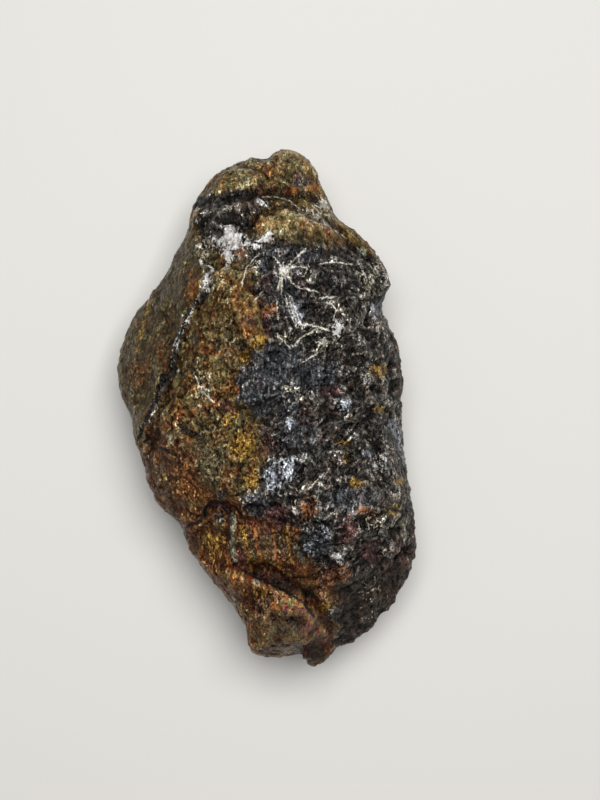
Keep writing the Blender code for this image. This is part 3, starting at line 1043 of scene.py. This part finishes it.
    def strew(self, points: np.ndarray, amounts: dict[Mineral, np.ndarray]) -> None:
        """Adds the minerals of the sides and underside, and small patches all over.

        Args:
            points: rows of X, Y and Z.
            amounts: the minerals' amounts, which are changed.
        """
        hidden = np.clip((self.strewn_below - points[:, 2]) / self.side_fade, 0, 1)
        patches = {wander: wander.at(points) for wander in (BROAD_PATCHES, SMALL_PATCHES)}
        side = 0.5 + 0.5 * patches[BROAD_PATCHES][:, 0] + points[:, 0] / self.grey_side_span
        grey = (1 - hidden) * amounts[Mineral.GREY] + hidden * np.clip(side, 0, 1)
        amounts[Mineral.GREY] = grey
        for kind in STREWN:
            here = kind.mean + kind.swing * patches[kind.patches][:, kind.column]
            here = here - kind.off_grey * grey + self.strewn_more * hidden
            amounts[kind.mineral] = np.clip(np.maximum(amounts[kind.mineral], here), 0, 1)

    def fine_form(self, skin: Skin, amounts: dict[Mineral, np.ndarray]) -> None:
        """Adds the hackle, cracks, hollows and crusts that the CAD leaves out.

        Args:
            skin: the surface that is changed.
            amounts: the minerals' amounts at its points.
        """
        points = skin.points
        bent = points + self.fine_bend.at(points)
        flank = firm(amounts[Mineral.STRIATED], *self.flank_core)
        grey = firm(amounts[Mineral.GREY], *self.grey_core)
        hackle = sum(self.broken_relief(bent, chips) for chips in self.fine_breakage)
        hackle *= (self.fine_share + self.grey_adds * grey) * (1 - self.flank_takes * flank)
        drawn = self.drawn_grain.at(points * self.drawn_squeeze)[:, 0]
        hackle += self.drawn_rise * flank * drawn
        pixels = self.view.pixels(points)
        show = rising(points[:, 2], self.rim_height, self.show_fade)
        cracks = np.max([crack_and_shadow.amount(pixels) for crack_and_shadow in CRACKS_AND_SHADOW_LINES], axis=0)
        hackle -= show * self.crack_depth * cracks**2
        hollows = np.max([spot.amount(pixels) for spot in SPOTS[Mineral.PITCH_AND_SHADE]], axis=0)
        hackle -= show * self.hollow_depth * firm(hollows, *self.hollow_core) ** 2
        hackle += self.crust_rise * firm(amounts[Mineral.CALCITE], *self.crust_core)
        hackle *= rising(points[:, 2], 0, self.foot_fade)
        self.raise_by(skin, hackle, self.fine_hold)
        self.settle(skin)

    def relief_of(self, skin: Skin, rounds: int, depth: float) -> np.ndarray:
        """Finds crests and hollows.

        Args:
            skin: the surface.
            rounds: how far round each point is looked at, in cells.
            depth: the height above the ground near it that counts as a full crest.

        Returns:
            Numbers from -1 in a hollow to 1 on a crest.
        """
        away = skin.points - skin.smoothed(rounds)
        return np.clip(np.sum(away * skin.normals(), axis=1) / depth, -1, 1)

    def vertex_numbers(
        self, skin: Skin, amounts: dict[Mineral, np.ndarray]
    ) -> dict[str, np.ndarray]:
        """Gathers what the finish reads at each point: minerals, crests and thin lines.

        Args:
            skin: the finished surface.
            amounts: the minerals' amounts at its points.

        Returns:
            The numbers by the names that the finish knows them by.
        """
        values = {mineral.value: amount for mineral, amount in amounts.items()}
        for name, rounds, depth in self.crests:
            values[name] = self.relief_of(skin, rounds, depth)
        pixels = self.view.pixels(skin.points)
        show = rising(skin.points[:, 2], self.marks_from, self.side_fade)
        for name, lines in (("thread", THREADS), ("crack_and_shadow", CRACKS_AND_SHADOW_LINES)):
            aside, near = nearest_line(pixels, lines)
            values[f"{name}_aside"], values[f"{name}_near"] = aside, near * show
        return values

    def bake_map(self, skin: Skin, ball: np.ndarray) -> np.ndarray:
        """Lays the surface out flat: the upper half at the left, the lower at the right.

        Args:
            skin: the surface.
            ball: its points' places on the unit ball.

        Returns:
            A place on the map for each corner of each face.
        """
        corners = ball[skin.quads.ravel()]
        below = np.repeat(ball[skin.quads].mean(1)[:, 2] < 0, 4)
        up = np.where(below, -corners[:, 2], corners[:, 2])
        spread = np.sqrt(np.maximum(1 - up, 0)) / np.maximum(np.hypot(*corners[:, :2].T), LEAST)
        across = 0.25 + self.map_radius * corners[:, 0] * spread * np.where(below, -1, 1)
        down = 0.5 + self.map_radius * self.length / self.width * corners[:, 1] * spread
        return np.stack([across + 0.5 * below, down], 1)

    def build(self) -> bpy.types.Object:
        """Makes the lump's mesh, with its minerals, relief and map.

        Returns:
            The piece, which stands for the CAD's solid.
        """
        skin, ball = self.large_form()
        amounts = self.marks(skin.points)
        self.strew(skin.points, amounts)
        self.fine_form(skin, amounts)
        data = bpy.data.meshes.new("peacock_ore_lump")
        data.from_pydata((skin.points * METRES_PER_MM).tolist(), [], skin.quads.tolist())
        data.shade_smooth()
        for name, numbers in self.vertex_numbers(skin, amounts).items():
            layer = data.attributes.new(name, "FLOAT", "POINT")
            layer.data.foreach_set("value", numbers.astype(np.float32))
        places = self.bake_map(skin, ball).astype(np.float32)
        data.uv_layers.new(name="OFBake").uv.foreach_set("vector", places.ravel())
        piece = bpy.data.objects.new("peacock_ore_lump", data)
        bpy.context.scene.collection.objects.link(piece)
        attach(piece, "root")
        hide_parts("ore_lump")
        return piece

    def dress(self, piece: bpy.types.Object) -> None:
        """Gives the piece its one finish."""
        TarnishedSulphide().dress(piece)


def linear(hex_colour: str) -> tuple[float, float, float, float]:
    """Turns an sRGB hex colour into the linear numbers that a node takes.

    Args:
        hex_colour: six hex digits after a hash sign.

    Returns:
        Red, green and blue from 0 to 1, and an alpha of 1.
    """
    parts = (int(hex_colour[k : k + 2], 16) / 255 for k in (1, 3, 5))
    red, green, blue = (c / 12.92 if c <= 0.04045 else ((c + 0.055) / 1.055) ** 2.4 for c in parts)
    return red, green, blue, 1.0


def per_metre(millimetres: float) -> float:
    """Returns the texture scale whose cells are about so many millimetres across."""
    return 1 / (millimetres * METRES_PER_MM)


def add(
    tree: bpy.types.NodeTree,
    kind: str,
    inputs: dict[str | int, object] | None = None,
    stops: Stops = (),
    **settings: object,
) -> bpy.types.Node:
    """Adds a shader node with its settings and links.

    Args:
        tree: the material's nodes.
        kind: the node's type, without the ShaderNode that each begins with.
        inputs: for an input's name or number, its value, the socket that feeds it, or the node
            whose first output does.
        stops: a colour ramp's places and hex colours.
        settings: the node's own properties.

    Returns:
        The new node.
    """
    node = tree.nodes.new(f"ShaderNode{kind}")
    for name, value in settings.items():
        setattr(node, name, value)
    for key, value in (inputs or {}).items():
        if isinstance(value, bpy.types.Node):
            value = value.outputs[0]
        if isinstance(value, bpy.types.NodeSocket):
            tree.links.new(value, node.inputs[key])
        else:
            node.inputs[key].default_value = value
    for k, (place, colour) in enumerate(stops):
        held = node.color_ramp.elements
        stop = held[k] if k < len(held) else held.new(place)
        stop.position, stop.color = place, linear(colour)
    return node


def summed(tree: bpy.types.NodeTree, grain: Grain, weights: Weights, start: Feed) -> Feed:
    """Adds patterns up, each times its weight.

    Args:
        tree: the material's nodes.
        grain: the patterns by name.
        weights: the names of the patterns that are added, and their weights.
        start: what they are added to.

    Returns:
        The sum.
    """
    for name, weight in weights:
        start = add(tree, "Math", {0: grain[name], 1: weight, 2: start}, operation="MULTIPLY_ADD")
    return start


def centred(weights: Weights) -> float:
    """Returns what a sum starts from, to be 0 where each of its patterns is at a half."""
    return -0.5 * sum(weight for _, weight in weights)


# The inputs of a Mix node: its share, and what it mixes as colours and as numbers
SHARE, FIRST_COLOUR, SECOND_COLOUR, FIRST, SECOND = 0, 6, 7, 2, 3
MIXED_COLOUR = 2  # the output that gives colours


@dataclass(frozen=True)
class Look:
    """A colour with its roughness and metal. What is None stays as it is below."""

    colour: Feed
    roughness: Feed | None = None
    metallic: Feed | None = None

    def under(self, tree: bpy.types.NodeTree, over: "Look", share: Feed) -> "Look":
        """Lays another look over this one.

        Args:
            tree: the material's nodes.
            over: the other look.
            share: how much of it shows, from 0 to 1.

        Returns:
            The look of both.
        """
        colours = {SHARE: share, FIRST_COLOUR: self.colour, SECOND_COLOUR: over.colour}
        colour = add(tree, "Mix", colours, data_type="RGBA").outputs[MIXED_COLOUR]
        shine = []
        for mine, laid in ((self.roughness, over.roughness), (self.metallic, over.metallic)):
            if laid is not None:
                mine = add(tree, "Mix", {SHARE: share, FIRST: mine, SECOND: laid})
            shine.append(mine)
        return Look(colour, *shine)


@dataclass(frozen=True)
class Mass:
    """A mineral that covers a large area: its colours from hollow to crest, and its shine.

    Its edge says how far the grain breaks its outline, and drawn how much of its grain is drawn
    out along the lump.
    """

    mineral: Mineral
    stops: Stops
    roughness: float
    metallic: float
    edge: float
    drawn: float = 0.0


@dataclass(frozen=True)
class Tone:
    """The colours of a thin cover from its hollows to its crests, and its shine."""

    hollow: str
    crest: str
    roughness: float | None = None
    metallic: float | None = None

    def look(self, tree: bpy.types.NodeTree, height: Feed) -> Look:
        """Shades the cover by how the ground under it rises.

        Args:
            tree: the material's nodes.
            height: 0 in a hollow and 1 on a crest.

        Returns:
            The cover's look.
        """
        colours = {
            SHARE: height,
            FIRST_COLOUR: linear(self.hollow),
            SECOND_COLOUR: linear(self.crest),
        }
        shade = add(tree, "Mix", colours, data_type="RGBA").outputs[MIXED_COLOUR]
        return Look(shade, self.roughness, self.metallic)


@dataclass(frozen=True)
class Overlay:
    """How one mineral lies over the ground: how broken its edge is, and how much it covers."""

    mineral: Mineral
    tone: Tone
    edge: float
    cover: float


@dataclass(frozen=True)
class FineLine:
    """A thin line that the vertices carry under its name, with its half-width in theirs."""

    name: str
    half: float
    tone: Tone


@dataclass(frozen=True)
class TarnishedSulphide:
    """Massive bornite and chalcopyrite, broken by hammer and tarnished in the air.

    Fresh chalcopyrite is brassy, bornite tarnishes through brown to purple and blue, and the
    grey parts are a dark sulphide full of glinting cleavage faces. It gives the eye a dark,
    grainy half-metal with painted shade in its hollows and painted glints on its crests, besides
    the sparks of its leaning crystal faces.
    """

    # Crystals of 0.52 mm and sparks of 0.32 mm, both a little coarser than real so that they
    # show, and the blocks that they are parts of
    cells: tuple[tuple[str, float], ...] = (("crystal", 0.52), ("spark", 0.32), ("block", 2.4))
    # Each noise's size in mm, its detail, its roughness, and the space that it is drawn on
    noises: tuple[tuple[str, float, float, float, str], ...] = (
        ("soft", 5.0, 6.0, 0.6, "place"),
        ("web", 0.72, 2.0, 0.6, "bent"),
        ("lively", 8.0, 3.0, 0.5, "place"),
        ("drawn", 0.7, 3.0, 0.5, "drawn_out"),
        ("hue", 3.2, 6.0, 0.62, "squeezed"),
    )
    # Crystals are half as long again along the lump as across it, the flank's grain is six times
    # as long as wide, and both run a little aslant. What bends their sides wanders over 0.9 mm.
    squeeze: float = 0.62
    draw: float = 0.16
    run: float = -0.12
    bend_size: float = 0.9
    bend_detail: float = 1.0
    bend_reach: float = 1.0
    # The grain's tone: the patterns that it is made of, and the painted shade and highlights by
    # which it follows the relief
    tone_weights: Weights = (
        ("crystal_tone", 0.34), ("spark_tone", 0.34), ("block_tone", 0.24), ("web", 1.5),
        ("soft", 0.6),
    )
    relief_light_and_shade_weights: Weights = (("grain_relief", 0.16), ("chip_relief", 0.17))
    # Its contrast where the grain is calm, and what is added where it is lively
    lively_between: tuple[float, float] = (0.36, 0.62)
    least_contrast: float = 0.58
    lively_contrast: float = 0.46
    # The bright fibres in it, the tone where every pattern is at a half, and the power that
    # keeps the thin covers deep
    fibre_width: float = 0.035
    fibre_light: float = 0.5
    middle_tone: float = 0.38
    deepening: float = 1.7
    # The tone of the drawn-out grain
    drawn_weights: Weights = (("tone", 0.45), ("drawn", 1.4))
    drawn_level: float = -0.42
    # What a mineral's edge runs along, and the amounts between which it fades in
    edge_weights: Weights = (
        ("crystal_edge", 0.40), ("spark_edge", 0.24), ("web", 0.6), ("soft", 0.6),
    )
    mass_fade: tuple[float, float] = (0.42, 0.58)
    overlay_fade: tuple[float, float] = (0.44, 0.6)
    film_fade: tuple[float, float] = (0.4, 0.8)
    # The shine: how far crystals differ in polish and lean, and the web's bump, 0.6 mm high
    specular_level: float = 0.35
    polish: float = 0.4
    face_lean: float = 0.7
    bump_strength: float = 0.9
    bump_height: float = 0.6
    # The brown ground, and the masses that lie in it. The near-white tops of the brown, russet,
    # grey and slate ramps are painted glints.
    brown: Stops = (
        (0.0, "#140b05"), (0.2, "#382812"), (0.4, "#594829"), (0.56, "#6e5d3d"),
        (0.72, "#8a7956"), (0.88, "#b9ab8a"), (1.0, "#fff8ea"),
    )
    brown_roughness: float = 0.42
    brown_metallic: float = 0.5
    masses: tuple[Mass, ...] = (
        # the russet ramp is darker than the brown one, partly as painted shade over the lower end
        Mass(
            Mineral.RUSSET,
            (
                (0.0, "#1c0a03"), (0.2, "#361808"), (0.4, "#4d2b12"), (0.56, "#604022"),
                (0.72, "#7c5c38"), (0.88, "#ae9068"), (1.0, "#fbeed4"),
            ),
            0.42, 0.45, 0.6, 0.45,
        ),
        Mass(
            Mineral.STRIATED,
            (
                (0.0, "#180f06"), (0.25, "#2f230e"), (0.5, "#483a20"), (0.72, "#625232"),
                (1.0, "#a08f62"),
            ),
            0.45, 0.4, 0.4, 0.85,
        ),
        Mass(
            Mineral.GREY,
            (
                (0.0, "#080706"), (0.24, "#1c1917"), (0.42, "#35312e"), (0.56, "#4c4844"),
                (0.7, "#67635f"), (0.83, "#96928d"), (0.95, "#f4f1ea"),
            ),
            0.34, 0.65, 0.6,
        ),
        Mass(
            Mineral.SLATE,
            (
                (0.0, "#08080a"), (0.28, "#212225"), (0.46, "#38393d"), (0.62, "#54565c"),
                (0.78, "#868990"), (0.92, "#d8dce2"),
            ),
            0.34, 0.6, 0.6, 0.8,
        ),
    )
    # What multiplies them: olive where the film of tarnish is thin, rust where it is thick. It
    # wanders over some 3 mm, and less of it shows on the dark metallic side.
    tint: Stops = (
        (0.3, "#bccdb8"), (0.42, "#dfe6d0"), (0.5, "#faf0d8"), (0.58, "#fcd6a4"),
        (0.66, "#ec9f6a"), (0.76, "#c4684a"),
    )
    grey_between: tuple[float, float] = (0.4, 0.6)
    grey_tint: float = 0.35
    # The tarnish's colours run with its thickness, which wanders over 1.3 mm across the lump
    # and half as far again along it
    film: Stops = (
        (0.0, "#34566a"), (0.32, "#50705a"), (0.42, "#86824a"), (0.5, "#9c6c3a"),
        (0.58, "#803a34"), (0.66, "#603c5e"), (1.0, "#424c78"),
    )
    film_size: float = 1.3
    film_detail: float = 4.0
    film_distortion: float = 0.6
    film_light: float = 2.2
    film_edge: float = 0.8
    film_cover: float = 0.6
    overlays: tuple[Overlay, ...] = (
        Overlay(Mineral.OLIVE, Tone("#1f1c12", "#b0ab84", 0.44, 0.4), 0.8, 0.5),
        Overlay(Mineral.RUST, Tone("#461b07", "#d8883e", 0.45, 0.4), 1.0, 0.72),
        Overlay(Mineral.GOLD, Tone("#543306", "#f6c85e", 0.34, 0.65), 1.0, 0.8),
        Overlay(Mineral.CRIMSON, Tone("#1c0a0c", "#8c5552", 0.36, 0.55), 0.9, 0.8),
        Overlay(Mineral.GREEN, Tone("#3c4230", "#eef4d2", 0.5, 0.1), 0.9, 0.8),
        # painted bluish-white glints
        Overlay(Mineral.GLINTING_FACE, Tone("#26282e", "#f0f6ff", 0.28, 0.7), 1.0, 0.9),
        Overlay(Mineral.CALCITE, Tone("#8a837a", "#ffffff", 0.6, 0.0), 1.1, 1.0),
        # near-black pits, and painted shade in recesses and over the lower end
        Overlay(Mineral.PITCH_AND_SHADE, Tone("#040201", "#4a3626", 0.55, 0.2), 0.7, 0.9),
    )
    # The net of calcite threads: its meshes in mm, and its threads' half-width in meshes
    net_mesh: float = 1.9
    net_threads: tuple[float, float] = (0.05, 0.12)
    net_edge: float = 0.9
    net_fade: tuple[float, float] = (0.36, 0.5)
    net_tone: Tone = Tone("#6c634f", "#fff6de")
    # Thin lines, in half-widths: how far the web bends them and how soft their sides are
    line_bend: float = 4.0
    line_soft: float = 0.2
    line_edge: float = 0.75
    line_fade: tuple[float, float] = (0.3, 0.42)
    fine_lines: tuple[FineLine, ...] = (
        FineLine("thread", 0.52, Tone("#7a705a", "#fffaf0", metallic=0.05)),
        # near-black cracks and painted shadow lines
        FineLine("crack_and_shadow", 0.8, Tone("#030202", "#1a140e", metallic=0.05)),
    )
    vertex_numbers: tuple[str, ...] = (
        *(mineral.value for mineral in Mineral),
        "grain_relief", "chip_relief", "thread_aside", "thread_near", "crack_and_shadow_aside", "crack_and_shadow_near",
    )

    def patterns(self, tree: bpy.types.NodeTree) -> Grain:
        """Adds the crystals and noises, and reads the numbers that the vertices carry.

        The crystals' cells have crooked sides, because they are drawn on a bent space.

        Args:
            tree: the material's nodes.

        Returns:
            The patterns and numbers by name.
        """
        grain = {
            name: add(tree, "Attribute", attribute_name=name).outputs["Fac"]
            for name in self.vertex_numbers
        }
        grain["place"] = place = add(tree, "TexCoord").outputs["Object"]
        for name, share in (("squeezed", self.squeeze), ("drawn_out", self.draw)):
            turned = {"Vector": place, "Scale": (1, share, 1), "Rotation": (0, 0, self.run)}
            grain[name] = add(tree, "Mapping", turned)
        bend = {"Vector": place, "Scale": per_metre(self.bend_size), "Detail": self.bend_detail}
        bend = add(tree, "TexNoise", bend).outputs["Color"]
        reach = (self.bend_reach * METRES_PER_MM,) * 3
        moved = {0: bend, 1: reach, 2: grain["squeezed"]}
        grain["bent"] = add(tree, "VectorMath", moved, operation="MULTIPLY_ADD")
        for name, size in self.cells:
            drawn = {"Vector": grain["bent"], "Scale": per_metre(size)}
            colour = add(tree, "TexVoronoi", drawn).outputs["Color"]
            grain[f"{name}_colour"] = colour
            channels = add(tree, "SeparateColor", {"Color": colour}).outputs
            for use, channel in zip(("tone", "edge", "polish"), channels):
                grain[f"{name}_{use}"] = channel
        for name, size, detail, roughness, space in self.noises:
            drawn = {"Vector": grain[space], "Scale": per_metre(size), "Detail": detail}
            grain[name] = add(tree, "TexNoise", drawn | {"Roughness": roughness})
        return grain

    def add_tones(self, tree: bpy.types.NodeTree, grain: Grain) -> None:
        """Adds the tones that run from hollow to crest, and what breaks the minerals' edges.

        Args:
            tree: the material's nodes.
            grain: the patterns by name, which the tones join.
        """
        low, high = self.lively_between
        grain["lively"] = add(
            tree, "MapRange", {"Value": grain["lively"], "From Min": low, "From Max": high},
            interpolation_type="SMOOTHSTEP",
        )
        tone = summed(tree, grain, self.tone_weights, centred(self.tone_weights))
        contrast = (("lively", self.lively_contrast),)
        contrast = summed(tree, grain, contrast, self.least_contrast)
        tone = add(tree, "Math", {0: tone, 1: contrast}, operation="MULTIPLY")
        # Painted shade darkens the hollows and painted highlights brighten the crests
        tone = summed(tree, grain, self.relief_light_and_shade_weights, tone)
        # Thin bright fibres along the web's middle, where the grain is lively
        off = add(tree, "Math", {0: grain["web"], 1: 0.5}, operation="SUBTRACT")
        off = add(tree, "Math", {0: off}, operation="ABSOLUTE")
        fibre = add(
            tree, "MapRange", {"Value": off, "From Max": self.fibre_width, "To Min": 1, "To Max": 0}
        )
        for part in ("lively", "crystal_edge"):
            fibre = add(tree, "Math", {0: fibre, 1: grain[part]}, operation="MULTIPLY")
        grain["fibre"] = fibre
        tone = summed(tree, grain, (("fibre", self.fibre_light),), tone)
        tone = add(tree, "Math", {0: tone, 1: self.middle_tone}, use_clamp=True)
        grain["tone"] = tone
        # The thin covers' colours stay deep until the tone is high
        grain["deep"] = add(tree, "Math", {0: tone, 1: self.deepening}, operation="POWER")
        grain["drawn_tone"] = summed(tree, grain, self.drawn_weights, self.drawn_level)
        grain["ragged"] = summed(tree, grain, self.edge_weights, centred(self.edge_weights))

    def showing(
        self,
        tree: bpy.types.NodeTree,
        grain: Grain,
        name: str,
        edge: float,
        fade: tuple[float, float],
        cover: float = 1.0,
        interpolation: str = "SMOOTHSTEP",
    ) -> Feed:
        """Finds where something shows, with an edge that the crystals and the web break.

        Args:
            tree: the material's nodes.
            grain: the patterns by name.
            name: the number at the vertices that says how much of it there is.
            edge: how far its edge is broken.
            fade: the amounts between which it fades in.
            cover: how much of it shows at most.
            interpolation: how it fades in.

        Returns:
            Its share, from 0 to cover.
        """
        amount = summed(tree, grain, (("ragged", edge),), grain[name])
        bounds = {"Value": amount, "From Min": fade[0], "From Max": fade[1], "To Max": cover}
        return add(tree, "MapRange", bounds, interpolation_type=interpolation)

    def ground(self, tree: bpy.types.NodeTree, grain: Grain) -> Look:
        """Makes the ground: brown, with the masses in it, and tinted by the tarnish's film.

        Args:
            tree: the material's nodes.
            grain: the patterns by name.

        Returns:
            The ground's look.
        """
        brown = add(tree, "ValToRGB", {"Fac": grain["tone"]}, self.brown).outputs["Color"]
        look = Look(brown, self.brown_roughness, self.brown_metallic)
        for mass in self.masses:
            tones = {SHARE: mass.drawn, FIRST: grain["tone"], SECOND: grain["drawn_tone"]}
            ramp = add(tree, "ValToRGB", {"Fac": add(tree, "Mix", tones)}, mass.stops)
            share = self.showing(tree, grain, mass.mineral.value, mass.edge, self.mass_fade)
            over = Look(ramp.outputs["Color"], mass.roughness, mass.metallic)
            look = look.under(tree, over, share)
        tint = add(tree, "ValToRGB", {"Fac": grain["hue"]}, self.tint).outputs["Color"]
        low, high = self.grey_between
        bounds = {"From Min": low, "From Max": high, "To Min": 1, "To Max": self.grey_tint}
        share = add(tree, "MapRange", {"Value": grain[Mineral.GREY.value]} | bounds)
        colours = {SHARE: share, FIRST_COLOUR: look.colour, SECOND_COLOUR: tint}
        tinted = add(tree, "Mix", colours, data_type="RGBA", blend_type="MULTIPLY")
        return Look(tinted.outputs[MIXED_COLOUR], look.roughness, look.metallic)

    def covers(self, tree: bpy.types.NodeTree, grain: Grain, look: Look) -> Look:
        """Lays the film of tarnish and the smaller minerals over the ground.

        Args:
            tree: the material's nodes.
            grain: the patterns by name.
            look: the ground's look.

        Returns:
            The look with them.
        """
        drawn = {"Vector": grain["bent"], "Scale": per_metre(self.film_size)}
        wandering = {"Detail": self.film_detail, "Distortion": self.film_distortion}
        thickness = add(tree, "TexNoise", drawn | wandering)
        film = add(tree, "ValToRGB", {"Fac": thickness}, self.film).outputs["Color"]
        colours = {SHARE: grain["deep"], FIRST_COLOUR: linear("#000000"), SECOND_COLOUR: film}
        film = add(tree, "Mix", colours, data_type="RGBA").outputs[MIXED_COLOUR]
        film = add(tree, "VectorMath", {0: film, "Scale": self.film_light}, operation="SCALE")
        share = self.showing(
            tree, grain, Mineral.PEACOCK.value, self.film_edge, self.film_fade, self.film_cover
        )
        look = look.under(tree, Look(film), share)
        for overlay in self.overlays:
            name, tone = overlay.mineral.value, overlay.tone.look(tree, grain["deep"])
            share = self.showing(
                tree, grain, name, overlay.edge, self.overlay_fade, overlay.cover
            )
            look = look.under(tree, tone, share)
        return look

    def threads(self, tree: bpy.types.NodeTree, grain: Grain, look: Look) -> Look:
        """Draws the net of calcite threads, the single threads, and the cracks with the painted
        shadow lines.

        The vertices say how far off each single line is, and the web makes it crooked.

        Args:
            tree: the material's nodes.
            grain: the patterns by name.
            look: what they are drawn on.

        Returns:
            The look with them.
        """
        drawn = {"Vector": grain["bent"], "Scale": per_metre(self.net_mesh)}
        net = add(tree, "TexVoronoi", drawn, feature="DISTANCE_TO_EDGE").outputs["Distance"]
        asked = Mineral.CREAM.value, self.net_edge, self.net_fade
        lines = [(net, self.net_threads, asked, self.net_tone)]
        for line in self.fine_lines:
            aside = grain[f"{line.name}_aside"]
            aside = summed(tree, grain, (("web", self.line_bend),), aside)
            middle = {0: aside, 1: self.line_bend / 2}
            aside = add(tree, "Math", middle, operation="SUBTRACT")
            aside = add(tree, "Math", {0: aside}, operation="ABSOLUTE")
            sides = line.half - self.line_soft, line.half + self.line_soft
            asked = f"{line.name}_near", self.line_edge, self.line_fade
            lines.append((aside, sides, asked, line.tone))
        for off, (low, high), asked, tone in lines:
            bounds = {"Value": off, "From Min": low, "From Max": high, "To Min": 1, "To Max": 0}
            there = self.showing(tree, grain, *asked, interpolation="LINEAR")
            share = {0: add(tree, "MapRange", bounds), 1: there}
            share = add(tree, "Math", share, operation="MULTIPLY")
            look = look.under(tree, tone.look(tree, grain["tone"]), share)
        return look

    def faces(self, tree: bpy.types.NodeTree, grain: Grain) -> bpy.types.Node:
        """Leans each crystal's face its own way, which makes the sparks, and adds the web's bump.

        Args:
            tree: the material's nodes.
            grain: the patterns by name.

        Returns:
            The node that gives the direction that the surface faces.
        """
        normal = add(tree, "NewGeometry").outputs["Normal"]
        parts = {0: grain["crystal_colour"], 1: grain["spark_colour"]}
        lean = add(tree, "VectorMath", parts, operation="ADD")
        lean = add(tree, "VectorMath", {0: lean, 1: (1, 1, 1)}, operation="SUBTRACT")
        lean = add(tree, "VectorMath", {0: lean, "Scale": self.face_lean}, operation="SCALE")
        normal = add(tree, "VectorMath", {0: normal, 1: lean}, operation="ADD")
        normal = add(tree, "VectorMath", {0: normal}, operation="NORMALIZE")
        height = {"Strength": self.bump_strength, "Distance": self.bump_height * METRES_PER_MM}
        return add(tree, "Bump", {"Height": grain["web"], "Normal": normal} | height)

    def dress(self, piece: bpy.types.Object) -> None:
        """Gives the piece the finish.

        Args:
            piece: the lump, with a number for each mineral at its vertices.
        """
        material = bpy.data.materials.new("tarnished_bornite_and_chalcopyrite")
        material.use_nodes = True
        tree = material.node_tree
        grain = self.patterns(tree)
        self.add_tones(tree, grain)
        look = self.covers(tree, grain, self.ground(tree, grain))
        look = self.threads(tree, grain, look)
        # Each crystal has its own polish
        polish = summed(tree, grain, (("crystal_polish", self.polish),), -self.polish / 2)
        roughness = add(tree, "Math", {0: look.roughness, 1: polish}, use_clamp=True)
        shader = tree.nodes["Principled BSDF"]
        faces = self.faces(tree, grain)
        for name, node in (
            ("Roughness", roughness), ("Metallic", look.metallic), ("Normal", faces),
        ):
            tree.links.new(node.outputs[0], shader.inputs[name])
        tree.links.new(look.colour, shader.inputs["Base Color"])
        shader.inputs["Specular IOR Level"].default_value = self.specular_level
        piece.data.materials.append(material)


@dataclass(frozen=True)
class Studio:
    """A plain pale floor under soft light that comes mostly from the lump's narrow end."""

    floor_half: float = 2.0
    floor_colour: str = "#cfcdc8"
    floor_grain: float = 30.0
    floor_roughness: tuple[float, float] = (0.75, 0.9)
    key_at: tuple[float, float, float] = (0.06, 0.16, 0.81)
    key_size: float = 0.42
    key_watts: float = 8.5
    fill_at: tuple[float, float, float] = (-0.55, -0.35, 0.60)
    fill_size: float = 0.9
    fill_watts: float = 0.4
    aim: tuple[float, float, float] = (0.0, 0.0, 0.03)
    sky_colour: str = "#e6e9ee"
    sky_strength: float = 0.14

    def lay_floor(self) -> None:
        """Lays the floor, matt painted board with the faint unevenness of a roller."""
        half = self.floor_half
        corners = ((-half, -half, 0), (half, -half, 0), (half, half, 0), (-half, half, 0))
        data = bpy.data.meshes.new("studio_floor")
        data.from_pydata(corners, [], [(0, 1, 2, 3)])
        material = bpy.data.materials.new("matt_painted_board")
        material.use_nodes = True
        tree = material.node_tree
        shader = tree.nodes["Principled BSDF"]
        shader.inputs["Base Color"].default_value = linear(self.floor_colour)
        noise = add(tree, "TexNoise", {"Scale": per_metre(self.floor_grain)})
        low, high = self.floor_roughness
        rough = add(tree, "MapRange", {"Value": noise, "To Min": low, "To Max": high})
        tree.links.new(rough.outputs["Result"], shader.inputs["Roughness"])
        data.materials.append(material)
        floor = bpy.data.objects.new("studio_floor", data)
        bpy.context.scene.collection.objects.link(floor)

    def hang(self, name: str, at: tuple[float, float, float], size: float, watts: float) -> None:
        """Hangs a square soft box that faces the lump.

        Args:
            name: the light's name.
            at: its place, in metres.
            size: its side, in metres.
            watts: its power.
        """
        data = bpy.data.lights.new(name, "AREA")
        data.size = size
        data.energy = watts
        light = bpy.data.objects.new(name, data)
        light.location = at
        light.rotation_euler = (Vector(self.aim) - Vector(at)).to_track_quat("-Z", "Y").to_euler()
        bpy.context.scene.collection.objects.link(light)

    def set_up(self) -> None:
        """Lays the floor and hangs the lights."""
        self.lay_floor()
        self.hang("key_softbox", self.key_at, self.key_size, self.key_watts)
        self.hang("fill_softbox", self.fill_at, self.fill_size, self.fill_watts)
        world = bpy.data.worlds.new("studio_air")
        world.use_nodes = True
        sky = world.node_tree.nodes["Background"]
        sky.inputs["Color"].default_value = linear(self.sky_colour)
        sky.inputs["Strength"].default_value = self.sky_strength
        bpy.context.scene.world = world
        bpy.context.scene.view_settings.view_transform = "Standard"


def main() -> None:
    """Builds and dresses the lump, logs its triangles, sets up the studio and stands the camera."""
    logging.basicConfig(level=logging.INFO, format="%(name)s: %(message)s")
    lump = OreLump()
    piece = lump.build()
    lump.dress(piece)
    triangles = 2 * len(piece.data.polygons)
    LOG.info("%s: %d triangles, stands for ore_lump", piece.name, triangles)
    Studio().set_up()
    LOG.info("studio: floor, two soft boxes and sky")
    lump.view.stand()
    LOG.info("camera: looks straight down on the show face")


if __name__ == "__main__":
    main()
